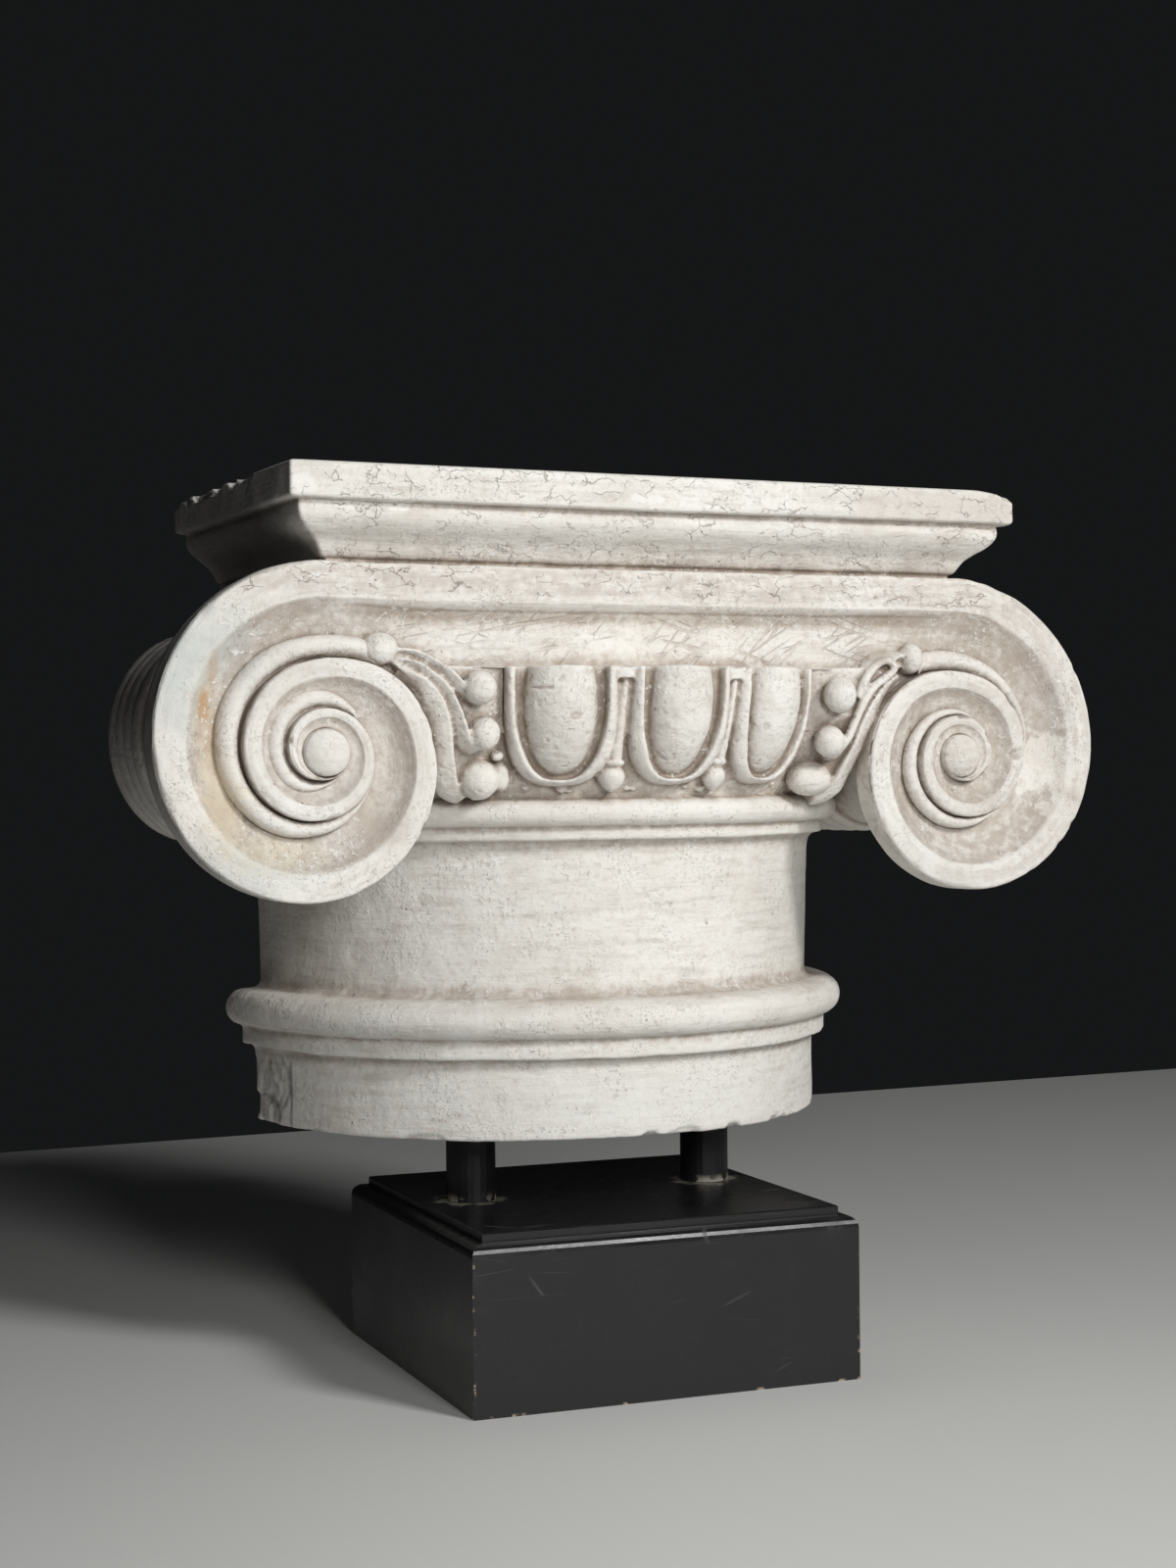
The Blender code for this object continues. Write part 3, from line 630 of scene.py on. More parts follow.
def makeEchinus():
    # the curved ground behind the eggs
    turns = np.linspace(-carving["groundTurn"], carving["groundTurn"], 66)
    rings = [[onAxis(radius, t, z) for t in turns]
             + [onAxis(radius - carving["groundThickness"], t, z) for t in turns[::-1]]
             for radius, z in resampled(shaft["echinus"], carving["groundStep"])]
    return ringMesh("echinus", rings)


def makeEgg():
    rings = []
    for i in range(egg["levels"] + 1):
        a = mix(-pi / 2 * 0.985, egg["topAngle"], (i / egg["levels"]) ** 0.85)
        z = egg["z"] + egg["halfHeight"] * sin(a)
        swell = squared(cos(a), egg["fullness"])
        centre = echinusRadius(min(z, carving["topZ"])) - egg["sunk"]
        ring = []
        for k in range(egg["sides"]):
            b = 2 * pi * k / egg["sides"]
            across = egg["halfWidth"] * swell * cos(b)
            out = (egg["bulge"] + egg["sunk"]) * swell * squared(sin(b), 0.9)
            ring.append(onAxis(centre + out, across / centre, z))
        rings.append(ring)
    return ringMesh("egg", rings, carving["topZ"])


def shellPath(share):
    # down one side of the U and up the other, past the top so that it can be sawn level
    bendZ = egg["z"] + shell["bendZ"]
    place = (share - 0.5) * 2
    side = 1 if place > 0 else -1
    place = abs(place)
    if place > shell["roundShare"]:
        up = shell["straight"] * (place - shell["roundShare"]) / (1 - shell["roundShare"])
        return side * shell["halfWidth"], bendZ + up
    a = -pi / 2 + pi / 2 * place / shell["roundShare"]
    return (side * shell["halfWidth"] * abs(cos(a)) ** 0.78,
            bendZ - (bendZ - shell["bottomZ"]) * abs(sin(a)) ** 0.92)


def makeShellFloor():
    # the shallow scoop that the egg lies in
    rings = []
    for i in range(25):
        z = mix(shell["bottomZ"] + 0.002, carving["topZ"] + 0.003, i / 24)
        down = max(0.0, (egg["z"] + shell["bendZ"] - z) / (egg["z"] - shell["bendZ"] - shell["bottomZ"]))
        half = shell["halfWidth"] * (1 - min(down, 1.0) ** 2.4) ** 0.55
        base = echinusRadius(z)
        rings.append([onAxis(base - carving["sunk"], -half / base, z)]
                     + [onAxis(base + shell["floor"] * (0.75 + 0.25 * abs(x) ** 2), half * x / base, z)
                        for x in np.linspace(-1, 1, 11)]
                     + [onAxis(base - carving["sunk"], half / base, z)])
    return ringMesh("shellFloor", rings, carving["topZ"])


def makeShell():
    # the rim: steep towards the egg, a broad rounded flank outside, thinner at its foot
    section = [(sideways, out * shell["rise"]) for sideways, out in shell["section"]]
    section = [(-1.2, -carving["sunk"]), *section, (1.3, -carving["sunk"])]
    rings = []
    for i in range(shell["steps"] + 1):
        share = i / shell["steps"]
        across, z = shellPath(share)
        ahead, behind = shellPath(min(share + 0.012, 1.0)), shellPath(max(share - 0.012, 0.0))
        along = Vector((ahead[0] - behind[0], ahead[1] - behind[1], 0.0))
        fromFoot = abs(share - 0.5) * 2
        upper = rise(fromFoot, 0.42, 0.36)
        slim = mix(shell["footWidth"], 1.0, rise(fromFoot, 0, 0.46))
        normal = Vector((along.y, -along.x, 0.0)).normalized()
        normal = normal * (shell["width"] / 2) * slim * (1 - 0.14 * upper)
        base = echinusRadius(z)
        ring = []
        for sideways, out in section:
            if sideways > 0:
                sideways *= 1 - 0.22 * upper
            ring.append(onAxis(base + out, (across + sideways * normal.x) / base, z + sideways * normal.y))
        rings.append(ring)
    return ringMesh("shell", rings, carving["topZ"])


def curvedBar(name, halfWidth, low, high, out, taper=1.0, lean=0.0, aside=0.0):
    # an upright bar on the echinus; taper is its foot's width as a share of its top's
    rings = []
    for i in range(14):
        share = i / 13
        z = mix(low, high, share)
        base = echinusRadius(z)
        half = halfWidth * mix(taper, 1.0, share)
        middle = aside + lean * (share - 0.5)
        ring = [onAxis(base - carving["sunk"], (middle + end) / base, z) for end in (-half, half)]
        for k in range(7):
            b = pi * k / 6
            ring.append(onAxis(base + out * (0.45 + 0.55 * sin(b)), (middle + half * cos(b)) / base, z))
        rings.append(ring)
    return ringMesh(name, rings)


def makeDart():
    # the bar that ties two rims together, the leaning shaft, its pointed bulb and the collar above it
    topZ, bulbZ = carving["topZ"], dart["bulbZ"]
    bridge = (carving["eggTurn"] * 0.183 - 2 * shell["halfWidth"] + 0.001) / 2
    foot = (dart["aside"] - dart["lean"] / 2) / echinusRadius(bulbZ)
    parts = [curvedBar("crossbar", bridge, topZ - dart["barFootGap"], topZ - dart["barTopGap"],
                       shell["rise"] - 0.0008),
             curvedBar("dartShaft", dart["width"] / 2, bulbZ, topZ - dart["topGap"], dart["rise"],
                       dart["flare"], dart["lean"], dart["aside"]),
             makeBall(onAxis(echinusRadius(bulbZ) + 0.0022, foot, bulbZ - 0.0004), dart["bulbRadius"],
                      (1.06, 1.0, 1.16), point=dart["bulbPoint"]),
             makeBall(onAxis(echinusRadius(dart["collarZ"]) + 0.0024, foot * 0.8, dart["collarZ"] + 0.0002),
                      dart["collarRadius"], (1.15, 1.0, 0.50))]
    return joined("dart", parts)


def makeCrumbs():
    return [makeBall(onAxis(echinusRadius(z) + 0.4 * size, radians(turn), z), size, (1.25, 1.0, 0.8), "crumb",
                     sides=9, point=0.5) for turn, z, size in crumbs]


def newTree(name, inputs):
    # an empty tree that takes a geometry and the named inputs, and gives a geometry
    tree = bpy.data.node_groups.new(name, "GeometryNodeTree")
    for label, kind in (("Geometry", "Geometry"), *inputs, ("Material", "Material")):
        tree.interface.new_socket(label, in_out="INPUT", socket_type="NodeSocket" + kind)
    tree.interface.new_socket("Geometry", in_out="OUTPUT", socket_type="NodeSocketGeometry")
    return tree, addNode(tree, "NodeGroupInput").outputs


def endTree(tree, copies, material):
    real = addNode(tree, "GeometryNodeRealizeInstances", {"Geometry": copies.outputs["Instances"]})
    coated = addNode(tree, "GeometryNodeSetMaterial",
                     {"Geometry": real.outputs["Geometry"], "Material": material})
    addNode(tree, "NodeGroupOutput", {"Geometry": coated.outputs["Geometry"]})
    return tree


def repeatTree():
    # copies a form round the shaft's upright axis: how many, how far apart, and where the axis stands
    tree, given = newTree("roundTheShaft", (("Form", "Object"), ("Count", "Int"), ("Turn", "Float"),
                                            ("Axis", "Vector")))

    def calculated(operation, a, b):
        return addNode(tree, "ShaderNodeMath", {0: a, 1: b}, operation=operation).outputs[0]

    line = addNode(tree, "GeometryNodeMeshLine", {"Count": given["Count"], "Offset": (0, 0, 0)})
    stands = addNode(tree, "GeometryNodeSetPosition",
                     {"Geometry": line.outputs["Mesh"], "Position": given["Axis"]})
    form = addNode(tree, "GeometryNodeObjectInfo", {"Object": given["Form"]}, transform_space="ORIGINAL")
    back = addNode(tree, "ShaderNodeVectorMath", {0: given["Axis"], "Scale": -1.0}, operation="SCALE")
    centred = addNode(tree, "GeometryNodeTransform", {"Geometry": form.outputs["Geometry"],
                                                      "Translation": back.outputs["Vector"]})
    middle = calculated("MULTIPLY", calculated("SUBTRACT", given["Count"], 1.0), 0.5)
    place = calculated("SUBTRACT", addNode(tree, "GeometryNodeInputIndex").outputs[0], middle)
    turned = addNode(tree, "ShaderNodeCombineXYZ", {"Z": calculated("MULTIPLY", place, given["Turn"])})
    copies = addNode(tree, "GeometryNodeInstanceOnPoints",
                     {"Points": stands.outputs["Geometry"], "Instance": centred.outputs["Geometry"],
                      "Rotation": turned.outputs["Vector"]})
    return endTree(tree, copies, given["Material"])


def scatterTree():
    # small lumps strewn where the surface's own attribute allows them: how dense, how large, which seed
    tree, given = newTree("strewnLumps", (("Lump", "Object"), ("Density", "Float"), ("Least", "Float"),
                                          ("Most", "Float"), ("Seed", "Int")))
    allowed = addNode(tree, "GeometryNodeInputNamedAttribute", {"Name": "strewn"}, data_type="FLOAT")
    density = addNode(tree, "ShaderNodeMath", {0: given["Density"], 1: allowed.outputs["Attribute"]},
                      operation="MULTIPLY")
    points = addNode(tree, "GeometryNodeDistributePointsOnFaces",
                     {"Mesh": given["Geometry"], "Density": density.outputs[0], "Seed": given["Seed"]})
    form = addNode(tree, "GeometryNodeObjectInfo", {"Object": given["Lump"]}, transform_space="ORIGINAL")
    size = addNode(tree, "FunctionNodeRandomValue",
                   {2: given["Least"], 3: given["Most"], "Seed": given["Seed"]}, data_type="FLOAT")
    copies = addNode(tree, "GeometryNodeInstanceOnPoints",
                     {"Points": points.outputs["Points"], "Instance": form.outputs["Geometry"],
                      "Rotation": points.outputs["Rotation"], "Scale": size.outputs[1]})
    return endTree(tree, copies, given["Material"])


def runTree(holder, tree, inputs):
    modifier = holder.modifiers.new("build", "NODES")
    modifier.node_group = tree
    sockets = {s.name: s.identifier for s in tree.interface.items_tree if s.in_out == "INPUT"}
    for label, value in inputs.items():
        modifier[sockets[label]] = value
    return applied(holder)


def repeated(name, form, count, tree, material):
    holder = runTree(meshFrom(name, [(0, 0, 0)], []), tree,
                     {"Form": form, "Count": count, "Turn": carving["eggTurn"],
                      "Axis": (shaft["axisX"], backY, 0.0), "Material": material})
    bpy.data.objects.remove(form)
    return holder


lump = {"density": 5200.0, "least": 0.00022, "most": 0.00062, "sides": 10, "stretch": (1.0, 1.25, 0.55),
        "seed": 11}


def strew(surface, seed, tree, material):
    form = makeBall((0, 0, 0), 1.0, lump["stretch"], "lump", lump["sides"])
    holder = runTree(addObject("lumpsOn" + surface.name, surface.data.copy()), tree,
                     {"Lump": form, "Density": lump["density"], "Least": lump["least"], "Most": lump["most"],
                      "Seed": seed, "Material": material})
    bpy.data.objects.remove(form)
    return holder


# leaves, balls and bed beside each volute, written for the right side; a leaf runs from the bead to its own
# ball, and balls and beads are place, radius, width and height
palmette = {
    "leftRims": (((0.1365, -0.0825, 0.3562), (0.1265, -0.0840, 0.3557), (0.1185, -0.0850, 0.3523),
                  (0.1108, -0.0870, 0.3472), (0.1052, -0.0880, 0.3415), (0.1010, -0.0870, 0.3345)),
                 ((0.1340, -0.0810, 0.3520), (0.1254, -0.0838, 0.3503), (0.1197, -0.0850, 0.3469),
                  (0.1125, -0.0850, 0.3413), (0.1075, -0.0845, 0.3346), (0.1037, -0.0840, 0.3272),
                  (0.1009, -0.0830, 0.3198), (0.0982, -0.0810, 0.3136), (0.0932, -0.0790, 0.3098)),
                 ((0.1330, -0.0790, 0.3480), (0.1244, -0.0828, 0.3441), (0.1192, -0.0833, 0.3405),
                  (0.1135, -0.0830, 0.3340), (0.1099, -0.0815, 0.3267), (0.1075, -0.0790, 0.3188),
                  (0.1058, -0.0760, 0.3108), (0.1034, -0.0720, 0.3028), (0.0992, -0.0655, 0.2936),
                  (0.0925, -0.0615, 0.2890))),
    "rightRims": (((0.1127, -0.0838, 0.3405), (0.1173, -0.0845, 0.3476), (0.1229, -0.0848, 0.3521),
                   (0.1300, -0.0842, 0.3530), (0.1370, -0.0825, 0.3560)),
                  ((0.1290, -0.0838, 0.3470), (0.1259, -0.0840, 0.3446), (0.1194, -0.0845, 0.3405),
                   (0.1140, -0.0845, 0.3343), (0.1100, -0.0840, 0.3270), (0.1070, -0.0835, 0.3203),
                   (0.1042, -0.0827, 0.3141), (0.0998, -0.0812, 0.3078), (0.0967, -0.0790, 0.3048)),
                  ((0.1350, -0.0815, 0.3457), (0.1269, -0.0828, 0.3406), (0.1208, -0.0832, 0.3344),
                   (0.1162, -0.0830, 0.3276), (0.1128, -0.0820, 0.3203), (0.1106, -0.0803, 0.3130),
                   (0.1079, -0.0780, 0.3062), (0.1057, -0.0745, 0.2995), (0.1040, -0.0700, 0.2928),
                   (0.1004, -0.0655, 0.2878), (0.0957, -0.0630, 0.2854))),
    "loop": ((0.1099, -0.0830, 0.3344), (0.1127, -0.0838, 0.3405), (0.1173, -0.0845, 0.3476),
             (0.1229, -0.0848, 0.3521), (0.1283, -0.0848, 0.3526), (0.1308, -0.0845, 0.3489),
             (0.1259, -0.0845, 0.3446), (0.1194, -0.0850, 0.3405), (0.1140, -0.0850, 0.3343),
             (0.1100, -0.0845, 0.3270), (0.1070, -0.0840, 0.3203), (0.1042, -0.0832, 0.3141),
             (0.0998, -0.0815, 0.3078), (0.0967, -0.0790, 0.3048)),
    "loopRadius": 0.0022,
    "leftBalls": ((0.0958, -0.0850, 0.3388, 0.0083, 1.0, 1.0), (0.0910, -0.0780, 0.3176, 0.0077, 1.0, 1.05),
                  (0.0880, -0.0635, 0.2962, 0.0098, 1.0, 1.0), (0.0812, -0.0705, 0.3072, 0.0028, 1.1, 0.9),
                  (0.0775, -0.0650, 0.2975, 0.0052, 0.85, 1.4)),
    "rightBalls": ((0.0979, -0.0850, 0.3357, 0.0083, 1.0, 1.08), (0.0950, -0.0795, 0.3126, 0.0078, 1.0, 1.05),
                   (0.0918, -0.0640, 0.2943, 0.0090, 1.38, 1.0)),
    "leftBead": (0.1428, -0.0775, 0.3565, 0.0081, 1.12, 0.98),
    "rightBead": (0.1428, -0.0785, 0.3542, 0.0080, 0.80, 1.0),
    "bed": ((0.1400, -0.0800, 0.3520), (0.1350, -0.0805, 0.3560), (0.1180, -0.0805, 0.3495),
            (0.0990, -0.0800, 0.3493), (0.0800, -0.0768, 0.3492), (0.0790, -0.0740, 0.3300),
            (0.0790, -0.0675, 0.3080), (0.0830, -0.0575, 0.2935), (0.0930, -0.0570, 0.2885),
            (0.1020, -0.0640, 0.2930), (0.1075, -0.0740, 0.3080), (0.1125, -0.0790, 0.3230),
            (0.1200, -0.0805, 0.3375), (0.1330, -0.0805, 0.3470)),
    "bedMiddle": (0.1060, -0.0795, 0.3270),
    "bedBackY": -0.0500,
    "leftFlanks": (0.0055, 0.0058, 0.0100), "rightFlanks": (0.0055, 0.0046, 0.0095),
    "lobeEdge": 0.0011, "lobeRise": 0.0054, "lobeBack": -0.0600}


forward = Vector((0.0, -1.0, 0.0))


def alongPath(centres, i):
    last = len(centres) - 1
    return Vector(centres[min(i + 1, last)] - centres[max(i - 1, 0)]).normalized()


def makeLobe(points, side, flank):
    # one leaf: a crisp ridge along its inner edge and a broad slope towards the volute
    centres = pathPoints(points, 60)
    height, steep = palmette["lobeRise"], palmette["lobeEdge"]
    rings = []
    for i, centre in enumerate(centres):
        share = i / (len(centres) - 1)
        across = alongPath(centres, i).cross(forward).normalized()
        width = flank * (0.55 + 0.45 * float(rise(share, 0, 0.35)))
        width *= 1 - 0.45 * float(rise(share, 0.8, 0.2))
        section = ((steep, None), (steep, 0.25 * height), (0.8 * steep, 0.78 * height),
                   (0.35 * steep, height), (-0.4 * steep, 0.97 * height), (-0.35 * width, 0.68 * height),
                   (-0.65 * width, 0.30 * height), (-0.88 * width, -0.20 * height),
                   (-width, -0.80 * height), (-width, None))
        back = max(palmette["lobeBack"], centre[1] + 0.010)
        ring = []
        for sideways, out in section:
            point = Vector(centre) + across * sideways
            ring.append((side * point.x, back if out is None else point.y + height - out, point.z))
        rings.append(ring)
    return ringMesh("lobe", rings)


def makeRope(points, radius):
    # the round fillet that doubles back on itself beside the right bead
    centres = pathPoints(points, 110)
    rings = []
    for i, centre in enumerate(centres):
        across = alongPath(centres, i).cross(forward).normalized()
        ring = []
        for a in np.linspace(0, 2 * pi, 14, endpoint=False):
            back = Vector((0.0, 0.7 * radius * (1 - 1.6 * sin(a)), 0.0))
            ring.append(tuple(Vector(centre) + across * (radius * cos(a)) + back))
        rings.append(ring)
    return ringMesh("rope", rings)


def makeBed(side):
    # the ground under the leaves: inset rings on its front, then straight back
    rings = []
    for depth, shrink in ((0, 0.95), (0, 0.6), (0, 0.25), (0, 0), (0.3, 0), (0.6, 0), (1, 0)):
        ring = []
        for point in palmette["bed"]:
            x, y, z = (mix(a, b, shrink) for a, b in zip(point, palmette["bedMiddle"]))
            ring.append((side * x, mix(y, palmette["bedBackY"], depth), z))
        rings.append(ring)
    return ringMesh("bed", rings)


def makePalmette(side):
    word = "left" if side < 0 else "right"
    parts = [makeBed(side)]
    for x, y, z, radius, wide, tall in (*palmette[word + "Balls"], palmette[word + "Bead"]):
        parts.append(makeBall((side * x, y, z), radius, (wide, 1.0, tall)))
    for points, flank in zip(palmette[word + "Rims"], palmette[word + "Flanks"]):
        parts.append(makeLobe(points, side, flank))
    if side > 0:
        parts.append(makeRope(palmette["loop"], palmette["loopRadius"]))
    return parts


# the two dark browns for hollows serve as dirt and as painted shade
colours = {"cream": (0.800, 0.765, 0.700), "white": (0.870, 0.850, 0.800), "taupe": (0.500, 0.430, 0.370),
           "grimeAndDeepShade": (0.250, 0.195, 0.150), "recessDirtAndShade": (0.430, 0.360, 0.300),
           "crackBrown": (0.210, 0.165, 0.125), "blueGrey": (0.560, 0.600, 0.580),
           "rust": (0.460, 0.235, 0.095), "yellow": (0.700, 0.590, 0.390),
           "lacquer": (0.0075, 0.0078, 0.0090), "dust": (0.030, 0.029, 0.030), "scuff": (0.10, 0.10, 0.10),
           "bareWood": (0.42, 0.33, 0.22), "glue": (0.32, 0.30, 0.24), "tube": (0.0085, 0.0085, 0.0095),
           "residue": (0.34, 0.31, 0.26)}


class Surface:
    # short words for the nodes that a finish is made of
    def __init__(self, name):
        self.material = bpy.data.materials.new(name)
        self.material.use_nodes = True
        self.tree = self.material.node_tree
        self.place = self.node("ShaderNodeTexCoord").outputs["Object"]

    def node(self, kind, sockets=None, **settings):
        return addNode(self.tree, kind, sockets, **settings)

    def mapped(self, scale=(1, 1, 1), turn=(0, 0, 0), move=(0, 0, 0), vector=None):
        return self.node("ShaderNodeMapping", {"Vector": vector or self.place, "Location": move,
                                               "Rotation": turn, "Scale": scale}).outputs["Vector"]

    def noiseNode(self, scale, detail, rough=0.5, vector=None):
        return self.node("ShaderNodeTexNoise", {"Vector": vector or self.place, "Scale": scale,
                                                "Detail": detail, "Roughness": rough})

    def noise(self, scale, detail=4.0, rough=0.55, vector=None):
        return self.noiseNode(scale, detail, rough, vector).outputs["Fac"]

    def cells(self, scale, feature="DISTANCE_TO_EDGE", vector=None):
        return self.node("ShaderNodeTexVoronoi", {"Vector": vector or self.place, "Scale": scale},
                         feature=feature).outputs["Distance"]

    def math(self, operation, a, b, clamp=False):
        return self.node("ShaderNodeMath", {0: a, 1: b}, operation=operation, use_clamp=clamp).outputs[0]

    def times(self, a, b, clamp=False):
        return self.math("MULTIPLY", a, b, clamp)

    def plus(self, a, b):
        return self.math("ADD", a, b)

    def around(self, value, strength):
        # a noise, or a sum of noises, swinging to both sides of nought
        return self.node("ShaderNodeMath", {0: value, 1: strength[0], 2: strength[1]},
                         operation="MULTIPLY_ADD").outputs[0]

    def between(self, value, low, high, toLow=0.0, toHigh=1.0, smooth=True):
        return self.node("ShaderNodeMapRange", {"Value": value, "From Min": low, "From Max": high,
                                                "To Min": toLow, "To Max": toHigh},
                         interpolation_type="SMOOTHSTEP" if smooth else "LINEAR").outputs["Result"]

    def coat(self, under, over, share):
        # one of the named colours over a tone
        under = (*colours[under], 1.0) if isinstance(under, str) else under
        return self.node("ShaderNodeMix", {0: share, 6: under, 7: (*colours[over], 1.0)},
                         data_type="RGBA").outputs[2]

    def attribute(self, name, output="Fac"):
        return self.node("ShaderNodeAttribute", attribute_name=name).outputs[output]

    def spot(self, centre, reach, uneven, soft):
        # 1 inside an uneven patch round a point, 0 outside
        moved = self.mapped([1 / r for r in reach], move=[-c / r for c, r in zip(centre, reach)])
        away = self.node("ShaderNodeVectorMath", {0: moved}, operation="LENGTH").outputs["Value"]
        return self.between(self.plus(away, uneven), 1.0 + soft / 2, 1.0 - soft / 2)

    def bump(self, height, distance, strength, under=None, invert=False):
        sockets = {"Height": height, "Distance": distance, "Strength": strength}
        if under:
            sockets["Normal"] = under
        return self.node("ShaderNodeBump", sockets, invert=invert).outputs["Normal"]

    def finish(self, sockets):
        setSockets(self.tree, self.tree.nodes["Principled BSDF"], sockets)
        return self.material


# colour, centre, reach, strength and softness of the local stains, worn patches and touch-ups, and of two
# patches of painted shade
stainsAndShadePatches = (("blueGrey", (-0.2250, -0.0845, 0.3560), (0.0260, 0.0100, 0.0170), 0.55, 1.2),
          ("blueGrey", (-0.2400, -0.0845, 0.3350), (0.0100, 0.0100, 0.0220), 0.50, 1.2),
          ("blueGrey", (-0.2150, -0.0845, 0.2580), (0.0340, 0.0100, 0.0120), 0.45, 1.2),
          ("rust", (-0.2262, -0.0800, 0.3300), (0.0028, 0.0100, 0.0072), 0.80, 0.8),
          ("rust", (-0.2222, -0.0790, 0.3440), (0.0024, 0.0100, 0.0110), 0.34, 1.2),
          ("rust", (-0.2230, -0.0790, 0.3140), (0.0030, 0.0100, 0.0120), 0.24, 1.2),
          ("yellow", (-0.2250, -0.0790, 0.3180), (0.0060, 0.0100, 0.0260), 0.30, 1.4),
          ("yellow", (-0.2180, -0.0790, 0.2830), (0.0110, 0.0100, 0.0180), 0.42, 1.2),
          ("yellow", (-0.1980, -0.0780, 0.2620), (0.0240, 0.0100, 0.0080), 0.42, 1.4),
          ("taupe", (-0.1440, -0.0790, 0.2740), (0.0150, 0.0100, 0.0080), 0.60, 1.2),
          ("blueGrey", (0.2300, -0.0790, 0.3280), (0.0060, 0.0100, 0.0200), 0.20, 1.2),
          # painted shade on the right volute's dish, where it turns away from the key light
          ("taupe", (0.2180, -0.0790, 0.3300), (0.0130, 0.0100, 0.0300), 0.42, 1.2),
          ("taupe", (0.2270, -0.0810, 0.2830), (0.0160, 0.0100, 0.0080), 0.45, 0.8),
          ("cream", (0.2230, -0.0820, 0.3010), (0.0200, 0.0120, 0.0170), 0.75, 0.45),
          ("white", (0.2160, -0.0820, 0.2930), (0.0110, 0.0120, 0.0080), 0.45, 0.30),
          ("cream", (0.2330, -0.0820, 0.2760), (0.0120, 0.0120, 0.0060), 0.60, 0.35),
          ("white", (-0.1860, -0.1003, 0.4285), (0.0060, 0.0060, 0.0050), 0.95, 0.5),
          ("white", (-0.1520, -0.0950, 0.4205), (0.0260, 0.0080, 0.0020), 0.80, 0.7),
          ("white", (-0.0150, -0.1003, 0.4275), (0.0105, 0.0060, 0.0022), 0.95, 0.5),
          ("white", (0.0603, -0.1003, 0.4285), (0.0009, 0.0060, 0.0070), 0.90, 0.5),
          ("taupe", (0.1500, -0.1003, 0.4300), (0.0500, 0.0080, 0.0060), 0.35, 1.4),
          # painted shade with some dirt on top of the right palmette's first leaf
          ("recessDirtAndShade", (0.1190, -0.0810, 0.3560), (0.0130, 0.0100, 0.0050), 0.60, 0.9),
          ("white", (0.0000, -0.0660, 0.1400), (0.0900, 0.0400, 0.0220), 0.45, 1.4),
          ("blueGrey", (0.0500, -0.0600, 0.1380), (0.1400, 0.0700, 0.0260), 0.16, 1.4),
          ("blueGrey", (0.1350, -0.0300, 0.2350), (0.0500, 0.0700, 0.0360), 0.22, 1.4))


